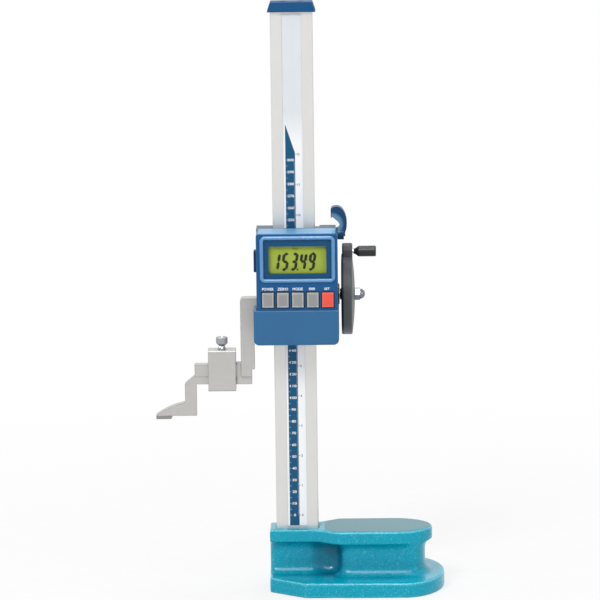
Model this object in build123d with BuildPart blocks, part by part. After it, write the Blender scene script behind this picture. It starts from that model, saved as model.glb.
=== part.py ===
from build123d import *
import os
from math import atan, cos, pi, radians, sin, sqrt, tan

# Digital height gauge for 0 to 300 mm: a cast base, one steel column with a rack down its back,
# and a slider with a display head, a handwheel and a scriber arm.
# Millimetres. The origin is on the underside of the base, under the middle of the column.
# +X runs along the base away from the scriber, -Y faces the user and +Z is up.
# A distance called "front" or "ahead" is measured from the column's middle plane towards the user.

# Clearances
slide_clearance = 0.1       # flat faces that slide on the column
running_clearance = 0.03    # radial, round a turning shaft
fit_clearance = 0.05        # radial, round a screw or a seated pin
case_clearance = 0.2        # between moulded pieces

# Base casting
nose_length = 23.0          # front face of the base to the column's axis
foot_thickness = 12.5
foot_nose_width = 53.2
foot_shoulder_x = 6.5
foot_shoulder_width = 96.0
foot_width = 99.0
foot_straight_end = 88.0
foot_end = 122.3
grip_height = 26.7          # the finger grip between the foot and the deck
grip_nose_width = 17.8
grip_neck_width = 11.2
grip_width = 43.0
grip_neck_start = 13.0
grip_neck_ramp = 6.0
grip_block_start = 36.0
grip_straight_end = 95.0
grip_end = 106.4
foot_cove = 7.0             # radius where the grip runs out onto the foot
deck_cove = 3.8             # radius under the deck's overhang
grip_edge_radius = 6.0
deck_thickness = 11.1
deck_nose_width = 29.2
deck_width = 52.0
deck_flare_start = 10.0
deck_flare_end = 38.0
deck_straight_end = 80.0
deck_end = 112.3
deck_edge_radius = 1.6
foot_edge_radius = 1.6
land_start = 23.0           # ground land on the deck
land_rise = 0.4
land_margin = 1.8
land_corner = 11.0
relief_start = 30.0         # shallow relief under the base, inside a lapped rim
relief_end = 98.0
relief_width = 62.0
relief_depth = 3.0

# Column
column_width = 35.0
column_thickness = 14.0
column_socket = 8.0         # how far the column stands down in the deck
column_edge = 0.6
strip_width = 16.0
strip_thickness = 0.8
strip_groove_depth = 1.2
strip_gap = 2.0             # bare column above and below the strip

# Rack and pinion
tooth_module = 0.8
pinion_teeth = 18
pressure_angle = 20.0
backlash = 0.12
rack_width = 8.0
rack_seat = 3.0             # depth of the rack's groove in the column
rack_start = 86.0
rack_tooth_count = 134
pinion_width = 9.0

# Column cap
cap_width = 39.6
cap_thickness = 20.0
cap_base = 484.0
cap_band = 7.8
cap_edge_radius = 0.8
cap_taper = 18.4
cap_socket = 4.0            # how far the column stands up in the cap

# Slider
slider_foot = 2.0           # slider's lower end above the battery cover's
slider_drop = 0.9           # slider's top below the head's
slider_left = 31.0
slider_right = 34.5
slider_front = 14.0
gib_thickness = 3.4
back_plate_thickness = 5.4
back_plate_margin = 5.0
wheel_axis_rise = 30.5      # handwheel's axis above the slider's lower end
gear_boss_radius = 13.0
gear_boss_left = 20.0
bush_radius = 5.5
bush_length = 13.0
bush_flange_radius = 9.0
bush_flange = 2.4
shaft_radius = 3.0
clip_radius = 5.0
clip_thickness = 0.8
clip_gap = 0.3
clip_groove_radius = 2.4
shaft_tail = 2.0

# Handwheel
wheel_inner_x = 38.6
wheel_thickness = 9.8
wheel_crown = 1.4
wheel_radius = 33.6
wheel_rim = 5.0
wheel_dish = 3.6
hub_radius = 4.6
hub_length = 1.4
ear_radius = 6.9
crank_radius = 36.0
nut_size = 9.4             # across the flats
nut_hex = 4.2
nut_length = 8.4
grip_diameter = 9.0
grip_length = 18.6
grip_neck_diameter = 4.6
grip_taper = 5.2
grip_end_radius = 1.0
spindle_radius = 1.5
spindle_head_radius = 2.6
spindle_head = 1.4

# Display head, with depths measured ahead of the column's middle plane
head_left = 30.8
head_right = 36.1
head_seam = 241.3           # height where the display cover meets the battery cover
head_height = 63.9          # of the display cover
cover_height = 29.3         # of the battery cover
head_back = 22.0            # where the display cover meets the back shell
head_front = 38.0
case_wall = 2.0
face_wall = 3.0
seam_wall = 1.2
case_corner = 3.0
features_x = 3.2            # middle of the window and of the row of keys
bezel_width = 61.6
bezel_height = 38.4
bezel_drop = 21.4           # middle of the bezel below the head's top
bezel_rise = 1.2
bezel_border = 2.6
window_width = 47.5
window_height = 22.8
window_drop = 22.3
window_thickness = 1.3
window_lap = 1.6
lcd_thickness = 2.8
lcd_margin = 1.0
board_front = 25.6
board_thickness = 1.6
board_margin = 4.2
board_rise = 2.1
key_width = 9.5
key_height = 12.3
key_pitch = 12.3
key_centre_rise = 8.5       # middle of the keys above the seam
key_rise = 1.4
key_flange = 0.6
key_flange_thickness = 1.0
key_travel = 1.0
key_edge = 0.6
key_stem_radius = 1.5
key_names = ["power_key", "zero_key", "mode_key", "unit_key", "set_key"]
switch_size = 6.0
switch_height = 3.0
plunger_height = 0.4
cover_left = 33.4
cover_right = 36.7
cover_front = 39.5
cover_back = 16.0
cover_corner = 4.5
battery_radius = 10.0
battery_thickness = 3.2
holder_wall = 1.6
holder_depth = 9.0
port_drop = 24.0
port_height = 18.0
port_depth = 9.0
port_front = 33.5
port_rise = 2.1
port_plug_height = 13.0
port_plug_depth = 5.0
port_socket = 5.0

# Lock lever
lock_drop = 5.9             # lock screw below the slider's top
lock_screw_radius = 2.5
lock_pad_length = 2.0
lever_hub_radius = 5.2
lever_hub_length = 6.5
lever_width = 9.0
lever_height = 22.4
lever_neck = 3.2            # lever's inner side at the neck, out from its hub's face
lever_back = 8.7            # lever's outer side at its widest
lever_hook = 3.7            # how far the hook reaches in over the slider
lever_hook_thickness = 7.2

# Scriber arm
arm_left = 45.3
arm_right = 33.9
arm_rise = 31.1             # arm's top above the slider's lower end
arm_drop = 28.6             # its shoulder below that end
arm_thickness = 12.0
arm_block_left = 49.3
arm_block_right = 36.3
arm_block_height = 17.6
arm_block_drop = 6.6        # below the bar
arm_pad_start = 1.0
bar_end = 83.9
bar_drop = 34.8             # bar's underside below the slider's lower end
bar_height = 10.1
bar_thickness = 9.0
scriber_height = 6.4
clamp_width = 22.9
clamp_gap = 0.3
clamp_wall = 3.0
clamp_floor = 5.5
clamp_roof = 12.1
thumb_radius = 2.5
thumb_neck_radius = 3.2
thumb_neck = 4.2
thumb_head_radius = 4.9
thumb_head = 5.9
leg_left = 92.2
leg_right = 82.6
leg_drop = 22.1             # where the leg meets the toe, below the bar
sole_drop = 33.0
scriber_tip = 116.4
scriber_tail = 56.5
carbide_length = 13.8
carbide_thickness = 2.7

# Sizes that follow from the ones above
column_top = cap_base + cap_socket
cap_top = cap_base + cap_band
head_top = head_seam + head_height
cover_base = head_seam - cover_height
slider_base = cover_base + slider_foot
slider_top = head_top - slider_drop
slider_height = slider_top - slider_base
back_plate_height = slider_height - 2 * back_plate_margin
wheel_axis_z = slider_base + wheel_axis_rise
lock_z = slider_top - lock_drop
bezel_z = head_top - bezel_drop
window_z = head_top - window_drop
port_z = head_top - port_drop
key_z = head_seam + key_centre_rise
board_base = head_seam + board_rise
battery_z = cover_base + cover_height / 2
reader_z = (head_seam + head_top) / 2
arm_top = slider_base + arm_rise
arm_shoulder = slider_base - arm_drop
arm_pad_base = slider_base + arm_pad_start
bar_base = slider_base - bar_drop
arm_block_base = bar_base - arm_block_drop
arm_block_top = arm_block_base + arm_block_height
foot_top = bar_base - leg_drop
foot_sole = bar_base - sole_drop
deck_base = foot_thickness + grip_height
deck_top = deck_base + deck_thickness
half_column = column_width / 2
land_half = deck_width / 2 - land_margin
column_front = column_thickness / 2
column_foot = deck_top - column_socket
strip_front = column_front - strip_groove_depth + strip_thickness
pitch_radius = tooth_module * pinion_teeth / 2
rack_pitch_y = column_front + tooth_module
shaft_y = rack_pitch_y + pitch_radius
tooth_pitch = pi * tooth_module
channel_front = column_front + slide_clearance
channel_left = half_column + slide_clearance
channel_right = channel_left + gib_thickness
plate_back = channel_front + back_plate_thickness
hub_face = wheel_inner_x - hub_length
wheel_face = wheel_inner_x + wheel_thickness + wheel_crown
ear_outer_x = wheel_inner_x + wheel_thickness


def socket_screw(radius, length, head_radius, head_height):
    # A socket-head screw with its head on z = 0 and its shank down -Z.
    with BuildPart() as screw:
        with BuildSketch():
            Circle(head_radius)
        extrude(amount=head_height)
        chamfer(screw.edges().group_by(Axis.Z)[-1], head_height * 0.1)
        with BuildSketch(Plane.XY.offset(head_height)):
            RegularPolygon(head_radius * 0.5, 6)
        extrude(amount=-head_height * 0.5, mode=Mode.SUBTRACT)
        with BuildSketch():
            Circle(radius)
        extrude(amount=-length)
    return screw.part


def rounded_end(start, end, half_width):
    # Quarter of the ellipse that closes an outline of the base at its right end.
    return EllipticalCenterArc((start, 0), end - start, half_width, 270, arc_size=90)


def finish(piece, name):
    piece.part.label = name
    export_step(piece.part, f"parts/{name}.step")


os.makedirs("parts", exist_ok=True)

# ---------------------------------------------------------------- base
column_screw_radius = 3.0
column_screw_spacing = 18.0
column_screw_head_radius = 5.0
column_screw_head = 6.0
column_screw_seat = 25.0
column_screw_bite = 14.0

with BuildPart() as base:
    with BuildSketch():
        with BuildLine():
            Polyline(
                (-nose_length, 0),
                (-nose_length, -foot_nose_width / 2),
                (foot_shoulder_x, -foot_shoulder_width / 2),
                (foot_straight_end, -foot_width / 2),
            )
            rounded_end(foot_straight_end, foot_end, foot_width / 2)
            mirror(about=Plane.XZ)
        make_face()
    extrude(amount=foot_thickness)

    with BuildSketch(Plane.XY.offset(foot_thickness)):
        with BuildLine():
            Line((-nose_length, 0), (-nose_length, -grip_nose_width / 2))
            FilletPolyline(
                (-nose_length, -grip_nose_width / 2),
                (grip_neck_start, -grip_nose_width / 2),
                (grip_neck_start + grip_neck_ramp, -grip_neck_width / 2),
                (grip_block_start, -grip_neck_width / 2),
                (grip_block_start, -grip_width / 2),
                (grip_straight_end, -grip_width / 2),
                radius=(grip_edge_radius, foot_cove + 1.5, foot_cove + 1.5, grip_edge_radius),
            )
            rounded_end(grip_straight_end, grip_end, grip_width / 2)
            mirror(about=Plane.XZ)
        make_face()
    extrude(amount=grip_height)

    with BuildSketch(Plane.XY.offset(deck_base)):
        with BuildLine():
            Polyline(
                (-nose_length, 0),
                (-nose_length, -deck_nose_width / 2),
                (deck_flare_start, -deck_nose_width / 2),
            )
            Spline(
                (deck_flare_start, -deck_nose_width / 2),
                (deck_flare_end, -deck_width / 2),
                tangents=[(1, 0), (1, 0)],
            )
            Line((deck_flare_end, -deck_width / 2), (deck_straight_end, -deck_width / 2))
            rounded_end(deck_straight_end, deck_end, deck_width / 2)
            mirror(about=Plane.XZ)
        make_face()
    extrude(amount=deck_thickness)

    # Coves where the finger grip meets the foot and the deck, all round behind the flat nose
    for height, radius in ((foot_thickness, foot_cove), (deck_base, deck_cove)):
        grip_walls = base.faces().filter_by(
            lambda face: foot_thickness < face.center().Z < deck_base and face.center().X > 1 - nose_length
        )
        fillet(grip_walls.edges().filter_by_position(Axis.Z, height - 0.01, height + 0.01), radius=radius)
    fillet(base.faces().sort_by(Axis.Z)[-1].edges(), radius=deck_edge_radius)
    fillet(base.edges().filter_by(
        lambda edge: abs(edge.center().Z - foot_thickness) < 0.01 and edge.center().X > 1 - nose_length
    ), radius=foot_edge_radius)

    # Ground land, a millimetre proud of the painted deck
    with BuildSketch(Plane.XY.offset(deck_top)):
        with BuildLine():
            Polyline(
                (land_start, 0),
                (land_start, land_corner - land_half),
                (land_start + land_corner, -land_half),
                (deck_straight_end, -land_half),
            )
            rounded_end(deck_straight_end, deck_end - land_margin, land_half)
            mirror(about=Plane.XZ)
        make_face()
    extrude(amount=land_rise)
    chamfer(base.faces().sort_by(Axis.Z)[-1].edges(), length=land_rise * 0.3)

    # Socket for the column, and its two screws up from below
    with BuildSketch(Plane.XY.offset(deck_top)):
        Rectangle(column_width + 2 * fit_clearance, column_thickness + 2 * fit_clearance)
    extrude(amount=-column_socket, mode=Mode.SUBTRACT)
    with Locations(Location((0, 0, 0), (180, 0, 0))):
        with GridLocations(column_screw_spacing, 0, 2, 1):
            CounterBoreHole(
                column_screw_radius + fit_clearance,
                column_screw_head_radius + 4 * fit_clearance,
                column_screw_seat,
                depth=column_foot + 1,
            )

    # Shallow relief, so that only a lapped rim and the nose touch the surface plate
    with BuildSketch():
        with Locations(((relief_start + relief_end) / 2, 0)):
            RectangleRounded(relief_end - relief_start, relief_width, relief_width / 5)
    extrude(amount=relief_depth, mode=Mode.SUBTRACT)
finish(base, "base")

# ---------------------------------------------------------------- column
with BuildPart() as column_screws:
    with Locations(Location((0, 0, column_screw_seat), (180, 0, 0))):
        with GridLocations(column_screw_spacing, 0, 2, 1):
            add(socket_screw(
                column_screw_radius,
                column_foot - column_screw_seat + column_screw_bite,
                column_screw_head_radius,
                column_screw_head,
            ))
finish(column_screws, "column_screws")

cap_screw_radius = 1.5
cap_screw_head_radius = 2.8
cap_screw_spacing = 14.0
cap_screw_bite = 8.0
cap_screw_sink = 0.2

with BuildPart() as column:
    with BuildSketch(Plane.XY.offset(column_foot)):
        Rectangle(column_width, column_thickness)
    extrude(amount=column_top - column_foot)
    chamfer(column.edges().filter_by(Axis.Z), length=column_edge)
    with BuildSketch(Plane.XY.offset(column_foot)):
        with Locations((0, -column_front)):
            Rectangle(strip_width + 2 * fit_clearance, 2 * strip_groove_depth)
        with Locations((0, column_front)):
            Rectangle(rack_width + 2 * fit_clearance, 2 * rack_seat)
    extrude(amount=column_top - column_foot, mode=Mode.SUBTRACT)
    with BuildSketch(Plane.XY.offset(column_foot)):
        with GridLocations(column_screw_spacing, 0, 2, 1):
            Circle(column_screw_radius + fit_clearance)
    extrude(amount=column_screw_bite + 2, mode=Mode.SUBTRACT)
    with BuildSketch(Plane.XY.offset(column_top)):
        with GridLocations(cap_screw_spacing, 0, 2, 1):
            Circle(cap_screw_radius + fit_clearance)
    extrude(amount=-cap_screw_bite - 2, mode=Mode.SUBTRACT)
finish(column, "column")

with BuildPart() as scale_strip:
    with BuildSketch(Plane.XY.offset(deck_top + strip_gap)):
        with Locations((0, -(strip_front - strip_thickness / 2))):
            Rectangle(strip_width, strip_thickness)
    extrude(amount=cap_base - deck_top - 2 * strip_gap)
finish(scale_strip, "scale_strip")

# Rack: straight 20 degree teeth that face away from the user, with a gap level with the pinion.
# Its teeth are counted from below, so the gap lies a whole number of pitches above the first tooth.
rack_back = column_front - rack_seat
rack_flank = tan(radians(pressure_angle))
rack_half_tip = tooth_pitch / 4 - tooth_module * rack_flank
rack_half_root = tooth_pitch / 4 + 1.25 * tooth_module * rack_flank
rack_first = wheel_axis_z - tooth_pitch * (round((wheel_axis_z - rack_start) / tooth_pitch) - 0.5)
rack_profile = [(rack_back, rack_first - tooth_pitch / 2)]
for tooth in range(rack_tooth_count):
    middle = rack_first + tooth * tooth_pitch
    rack_profile += [
        (rack_pitch_y - 1.25 * tooth_module, middle - rack_half_root),
        (rack_pitch_y + tooth_module, middle - rack_half_tip),
        (rack_pitch_y + tooth_module, middle + rack_half_tip),
        (rack_pitch_y - 1.25 * tooth_module, middle + rack_half_root),
    ]
rack_profile.append((rack_back, rack_first + (rack_tooth_count - 0.5) * tooth_pitch))

with BuildPart() as rack:
    with BuildSketch(Plane.YZ):
        Polygon(*rack_profile, align=None)
    extrude(amount=rack_width / 2, both=True)
finish(rack, "rack")

with BuildPart() as top_cap:
    with BuildSketch(Plane.XY.offset(cap_base)):
        Rectangle(cap_width, cap_thickness)
    extrude(amount=cap_band, taper=cap_taper)
    fillet(top_cap.edges().group_by(Axis.Z)[-1], radius=cap_edge_radius)
    with BuildSketch(Plane.XY.offset(cap_base)):
        Rectangle(column_width + 2 * fit_clearance, column_thickness + 2 * fit_clearance)
    extrude(amount=cap_socket, mode=Mode.SUBTRACT)
    with Locations(Plane.XY.offset(cap_top)):
        with GridLocations(cap_screw_spacing, 0, 2, 1):
            CounterSinkHole(
                cap_screw_radius + fit_clearance,
                cap_screw_head_radius + cap_screw_sink + fit_clearance,
                counter_sink_angle=90,
            )
finish(top_cap, "top_cap")

with BuildPart() as cap_screws:
    with BuildSketch(Plane.XY.offset(cap_top - cap_screw_sink)):
        with GridLocations(cap_screw_spacing, 0, 2, 1):
            Circle(cap_screw_head_radius)
    extrude(amount=-(cap_screw_head_radius - cap_screw_radius), taper=45)
    with BuildSketch(Plane.XY.offset(cap_top - 1)):
        with GridLocations(cap_screw_spacing, 0, 2, 1):
            Circle(cap_screw_radius)
    extrude(amount=-(cap_top - 1 - column_top + cap_screw_bite))
    with BuildSketch(Plane.XY.offset(cap_top - cap_screw_sink)):
        with GridLocations(cap_screw_spacing, 0, 2, 1):
            RegularPolygon(cap_screw_radius * 0.7, 6)
    extrude(amount=-1, mode=Mode.SUBTRACT)
finish(cap_screws, "cap_screws")

# ---------------------------------------------------------------- slider
plate_screw_radius = 2.0
plate_screw_head_radius = 3.5
plate_screw_head = 3.2
plate_screw_bite = 8.0
plate_screw_inset = 7.0
gib_screw_radius = 2.5
gib_screw_length = 10.0
gib_screw_spread = 36.0
jaw_screw_radius = 2.0
jaw_screw_head_radius = 3.5
jaw_screw_head = 4.0
jaw_screw_bite = 9.0
jaw_screw_spacing = 20.0
case_screw_radius = 1.5
case_screw_head_radius = 2.8
case_screw_head = 1.8
case_screw_bite = 5.0
reader_width = 20.0
reader_height = 52.0
reader_thickness = 1.6
reader_gap = 0.15
reader_corner = 2.0
reader_play = 2 * case_clearance

jaw_screw_z = (arm_pad_base + arm_top) / 2
plate_base = slider_base + (slider_height - back_plate_height) / 2
plate_middle = plate_base + back_plate_height / 2
left_cheek_x = -(slider_left + channel_left) / 2
right_cheek_x = (slider_right + channel_right) / 2
plate_screw_points = [
    (x, plate_middle + side * (back_plate_height / 2 - plate_screw_inset))
    for x in (left_cheek_x, right_cheek_x)
    for side in (-1, 1)
]
gib_screw_points = [(0, slider_base + slider_height / 2 + side * gib_screw_spread / 2) for side in (-1, 1)]
jaw_screw_points = [(0, jaw_screw_z + side * jaw_screw_spacing / 2) for side in (-1, 1)]
case_screw_points = [(x, z) for x in (left_cheek_x, right_cheek_x) for z in (board_base - 12, head_top - 10)]

with BuildPart() as slider_body:
    with BuildSketch(Plane.XY.offset(slider_base)):
        with BuildLine():
            Polyline(
                (-slider_left, -slider_front),
                (slider_right, -slider_front),
                (slider_right, channel_front),
                (channel_right, channel_front),
                (channel_right, -channel_front),
                (-channel_left, -channel_front),
                (-channel_left, channel_front),
                (-slider_left, channel_front),
                close=True,
            )
        make_face()
    extrude(amount=slider_height)
    outer_corners = slider_body.edges().filter_by(Axis.Z).group_by(Axis.Y)[0]
    chamfer(outer_corners, length=1)
    # Window that lets the reader board face the scale strip
    with BuildSketch(Plane.XZ.offset(channel_front - 1)):
        with Locations((0, reader_z)):
            RectangleRounded(reader_width + reader_play, reader_height + reader_play, reader_corner)
    extrude(until=Until.LAST, mode=Mode.SUBTRACT)
    with BuildSketch(Plane.XZ.offset(-channel_front)):
        with Locations(*plate_screw_points):
            Circle(plate_screw_radius + fit_clearance)
    extrude(amount=plate_screw_bite + 1, mode=Mode.SUBTRACT)
    with BuildSketch(Plane.XZ.offset(slider_front)):
        with Locations(*case_screw_points):
            Circle(case_screw_radius + fit_clearance)
    extrude(amount=-case_screw_bite - 1, mode=Mode.SUBTRACT)
    with BuildSketch(Plane.YZ.offset(-slider_left)):
        with Locations(*jaw_screw_points):
            Circle(jaw_screw_radius + fit_clearance)
    extrude(amount=jaw_screw_bite + 1, mode=Mode.SUBTRACT)
    with BuildSketch(Plane.YZ.offset(channel_right)):
        with Locations(*gib_screw_points, (0, lock_z)):
            Circle(gib_screw_radius + fit_clearance)
    extrude(amount=slider_right - channel_right, mode=Mode.SUBTRACT)
finish(slider_body, "slider_body")

with BuildPart() as gib_strip:
    with BuildSketch(Plane.XY.offset(slider_base + 1)):
        with Locations(((half_column + slide_clearance / 2 + channel_right) / 2, 0)):
            Rectangle(channel_right - half_column - slide_clearance / 2, column_thickness - 1)
    extrude(amount=slider_height - 2)
    chamfer(gib_strip.edges().filter_by(Axis.Z).group_by(Axis.X)[-1], length=1)
finish(gib_strip, "gib_strip")

with BuildPart() as gib_screws:
    with BuildSketch(Plane.YZ.offset(channel_right)):
        with Locations(*gib_screw_points):
            Circle(gib_screw_radius)
    extrude(amount=gib_screw_length)
    with BuildSketch(Plane.YZ.offset(channel_right + gib_screw_length)):
        with Locations(*gib_screw_points):
            RegularPolygon(gib_screw_radius * 0.55, 6)
    extrude(amount=-gib_screw_length / 3, mode=Mode.SUBTRACT)
finish(gib_screws, "gib_screws")

with BuildPart() as slider_back_plate:
    with BuildSketch(Plane.XZ.offset(-channel_front)):
        with Locations(((slider_right - slider_left) / 2, plate_middle)):
            RectangleRounded(slider_right + slider_left, back_plate_height, 4)
    extrude(amount=-back_plate_thickness)
    chamfer(slider_back_plate.faces().sort_by(Axis.Y)[-1].edges(), length=0.8)
    # Cast boss for the shaft, across the back of the plate
    with BuildSketch(Plane.YZ.offset(-gear_boss_left)):
        with Locations((shaft_y, wheel_axis_z)):
            Circle(gear_boss_radius)
        with Locations((channel_front, wheel_axis_z)):
            Rectangle(
                3 * gear_boss_radius,
                2 * gear_boss_radius,
                align=(Align.MIN, Align.CENTER),
                mode=Mode.INTERSECT,
            )
    extrude(amount=gear_boss_left + slider_right)
    # Bore for the bushes, the pinion's chamber, and the channel that clears the rack
    with BuildSketch(Plane.YZ.offset(-gear_boss_left)):
        with Locations((shaft_y, wheel_axis_z)):
            Circle(bush_radius)
    extrude(amount=gear_boss_left + slider_right, mode=Mode.SUBTRACT)
    with BuildSketch(Plane.YZ.offset(-pinion_width / 2 - 1)):
        with Locations((shaft_y, wheel_axis_z)):
            Circle(pitch_radius + 2 * tooth_module)
        with Locations((channel_front, wheel_axis_z)):
            Rectangle(
                shaft_y - channel_front,
                2 * (pitch_radius + 2 * tooth_module),
                align=(Align.MIN, Align.CENTER),
            )
    extrude(amount=pinion_width + 2, mode=Mode.SUBTRACT)
    with BuildSketch(Plane.XY.offset(plate_base)):
        with Locations((0, channel_front)):
            Rectangle(rack_width + 2, 2 * (rack_pitch_y + 2 * tooth_module - channel_front))
    extrude(amount=back_plate_height, mode=Mode.SUBTRACT)
    # Room in the plate for the clip on the shaft's end
    with BuildSketch(Plane.YZ.offset(-slider_left)):
        with Locations((shaft_y, wheel_axis_z)):
            Circle(clip_radius + 1)
    extrude(amount=slider_left - gear_boss_left, mode=Mode.SUBTRACT)
    with BuildSketch(Plane.XZ.offset(-plate_back)):
        with Locations(*plate_screw_points):
            Circle(plate_screw_radius + 2 * fit_clearance)
    extrude(amount=back_plate_thickness, mode=Mode.SUBTRACT)
finish(slider_back_plate, "slider_back_plate")

with BuildPart() as back_plate_screws:
    plate_screw = socket_screw(
        plate_screw_radius, back_plate_thickness + plate_screw_bite, plate_screw_head_radius, plate_screw_head
    )
    for x, z in plate_screw_points:
        with Locations(Location((x, plate_back, z), (-90, 0, 0))):
            add(plate_screw)
finish(back_plate_screws, "back_plate_screws")

# ---------------------------------------------------------------- shaft, pinion and handwheel
with BuildPart() as left_bush:
    with BuildSketch(Plane.YZ.offset(-gear_boss_left)):
        with Locations((shaft_y, wheel_axis_z)):
            Circle(bush_radius)
            Circle(shaft_radius + running_clearance, mode=Mode.SUBTRACT)
    extrude(amount=bush_length)
finish(left_bush, "left_bush")

with BuildPart() as right_bush:
    with BuildSketch(Plane.YZ.offset(slider_right)):
        with Locations((shaft_y, wheel_axis_z)):
            Circle(bush_radius)
    extrude(amount=-bush_length)
    with BuildSketch(Plane.YZ.offset(slider_right)):
        with Locations((shaft_y, wheel_axis_z)):
            Circle(bush_flange_radius)
    extrude(amount=bush_flange)
    chamfer(right_bush.edges().group_by(Axis.X)[-1], length=0.8)
    with BuildSketch(Plane.YZ.offset(slider_right - bush_length)):
        with Locations((shaft_y, wheel_axis_z)):
            Circle(shaft_radius + running_clearance)
    extrude(amount=bush_length + bush_flange, mode=Mode.SUBTRACT)
finish(right_bush, "right_bush")

shaft_left = gear_boss_left + clip_gap + clip_thickness + shaft_tail
shaft_right = wheel_face + nut_hex

with BuildPart() as pinion_shaft:
    with BuildSketch(Plane.YZ.offset(-shaft_left)):
        with Locations((shaft_y, wheel_axis_z)):
            Circle(shaft_radius)
    extrude(amount=shaft_left + shaft_right)
    chamfer(pinion_shaft.edges().group_by(Axis.X)[0], length=0.5)
    with BuildSketch(Plane.YZ.offset(-gear_boss_left - clip_gap)):
        with Locations((shaft_y, wheel_axis_z)):
            Circle(shaft_radius)
            Circle(clip_groove_radius, mode=Mode.SUBTRACT)
    extrude(amount=-clip_thickness, mode=Mode.SUBTRACT)
finish(pinion_shaft, "pinion_shaft")

with BuildPart() as shaft_clip:
    with BuildSketch(Plane.YZ.offset(-gear_boss_left - clip_gap)):
        with Locations((shaft_y, wheel_axis_z)):
            Circle(clip_radius)
            Circle(clip_groove_radius, mode=Mode.SUBTRACT)
        with Locations((shaft_y + clip_radius, wheel_axis_z)):
            Rectangle(2 * clip_radius, 1.6 * clip_groove_radius, mode=Mode.SUBTRACT)
    extrude(amount=-clip_thickness)
finish(shaft_clip, "shaft_clip")

# Pinion: involute teeth, one of them pointing straight into the rack
base_radius = pitch_radius * cos(radians(pressure_angle))
tip_radius = pitch_radius + tooth_module
root_radius = pitch_radius - 1.25 * tooth_module
unwound_pitch = sqrt((pitch_radius / base_radius) ** 2 - 1)
pitch_half_angle = (tooth_pitch / 2 - backlash) / (2 * pitch_radius)
base_half_angle = pitch_half_angle + unwound_pitch - atan(unwound_pitch)
unwound_tip = sqrt((tip_radius / base_radius) ** 2 - 1)
flank = [(root_radius - 0.2, base_half_angle)]
for step in range(5):
    unwound = unwound_tip * step / 4
    flank.append((base_radius * sqrt(1 + unwound**2), base_half_angle - unwound + atan(unwound)))

with BuildSketch(mode=Mode.PRIVATE) as pinion_tooth:
    with BuildLine():
        upper = Polyline(*[(-radius * cos(angle), radius * sin(angle)) for radius, angle in flank])
        lower = Polyline(*[(-radius * cos(angle), -radius * sin(angle)) for radius, angle in flank])
        Line(upper @ 0, lower @ 0)
        Line(upper @ 1, lower @ 1)
    make_face()

with BuildPart() as pinion:
    with BuildSketch(Plane((-pinion_width / 2, shaft_y, wheel_axis_z), x_dir=(0, 1, 0), z_dir=(1, 0, 0))):
        Circle(root_radius)
        with PolarLocations(0, pinion_teeth):
            add(pinion_tooth.sketch)
        Circle(shaft_radius, mode=Mode.SUBTRACT)
    extrude(amount=pinion_width)
finish(pinion, "pinion")

spindle_seat = 5.0
wheel_axis = Axis((0, shaft_y, wheel_axis_z), (1, 0, 0))
wheel_plane = Plane((0, shaft_y, wheel_axis_z), x_dir=(1, 0, 0), z_dir=(0, -1, 0))
web_x = wheel_inner_x + wheel_dish
rim_inner = wheel_radius - wheel_rim

# Ear that carries the crank handle, cast in one with the wheel
with BuildPart() as crank_ear:
    with BuildSketch(Plane.YZ.offset(wheel_inner_x + 0.8)):
        with Locations((shaft_y, wheel_axis_z + crank_radius)):
            Circle(ear_radius)
        with Locations((shaft_y, wheel_axis_z + crank_radius - ear_radius)):
            Rectangle(2 * ear_radius, 2 * ear_radius)
    extrude(amount=wheel_thickness - 1.2)
    ear_faces = crank_ear.faces().filter_by(Axis.X)
    chamfer(ear_faces.edges(), length=0.8)

with BuildPart() as handwheel:
    with BuildSketch(wheel_plane):
        with BuildLine():
            Polyline(
                (wheel_face, 0),
                (hub_face, 0),
                (hub_face, hub_radius),
                (web_x, hub_radius),
                (web_x, rim_inner - wheel_dish / 3),
                (wheel_inner_x, rim_inner),
                (wheel_inner_x, wheel_radius),
                (ear_outer_x - 1, wheel_radius),
            )
            TangentArc((wheel_face, 0), (ear_outer_x - 1, wheel_radius), tangent=(0, 1))
        make_face()
    revolve(axis=wheel_axis)
    wheel_rims = handwheel.edges().filter_by(GeomType.CIRCLE).filter_by(
        lambda edge: abs(edge.radius - wheel_radius) < 0.01
    )
    fillet(wheel_rims, radius=1.2)
    add(crank_ear.part)
    with BuildSketch(Plane.YZ.offset(hub_face)):
        with Locations((shaft_y, wheel_axis_z)):
            Circle(shaft_radius)
    extrude(amount=wheel_face - hub_face + 1, mode=Mode.SUBTRACT)
    with BuildSketch(Plane.YZ.offset(wheel_inner_x + wheel_thickness)):
        with Locations((shaft_y, wheel_axis_z + crank_radius)):
            Circle(spindle_radius + fit_clearance)
    extrude(amount=-spindle_seat - 0.5, mode=Mode.SUBTRACT)
finish(handwheel, "handwheel")

with BuildPart() as hub_nut:
    with BuildSketch(Plane.YZ.offset(wheel_face)):
        with Locations((shaft_y, wheel_axis_z)):
            RegularPolygon(nut_size / 2, 6, major_radius=False)
    extrude(amount=nut_hex)
    with BuildSketch(wheel_plane):
        with BuildLine():
            Line((wheel_face + nut_hex, 0), (wheel_face + nut_hex, nut_size * 0.46))
            EllipticalCenterArc((wheel_face + nut_hex, 0), nut_length - nut_hex, nut_size * 0.46, 0, arc_size=90)
            Line((wheel_face + nut_hex, 0), (wheel_face + nut_length, 0))
        make_face()
    revolve(axis=wheel_axis)
    with BuildSketch(Plane.YZ.offset(wheel_face)):
        with Locations((shaft_y, wheel_axis_z)):
            Circle(shaft_radius)
    extrude(amount=nut_hex, mode=Mode.SUBTRACT)
finish(hub_nut, "hub_nut")

handle_x = ear_outer_x + 0.6
handle_end = handle_x + grip_length
handle_axis = Axis((0, shaft_y, wheel_axis_z + crank_radius), (1, 0, 0))
handle_plane = Plane((0, shaft_y, wheel_axis_z + crank_radius), x_dir=(1, 0, 0), z_dir=(0, -1, 0))

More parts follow.
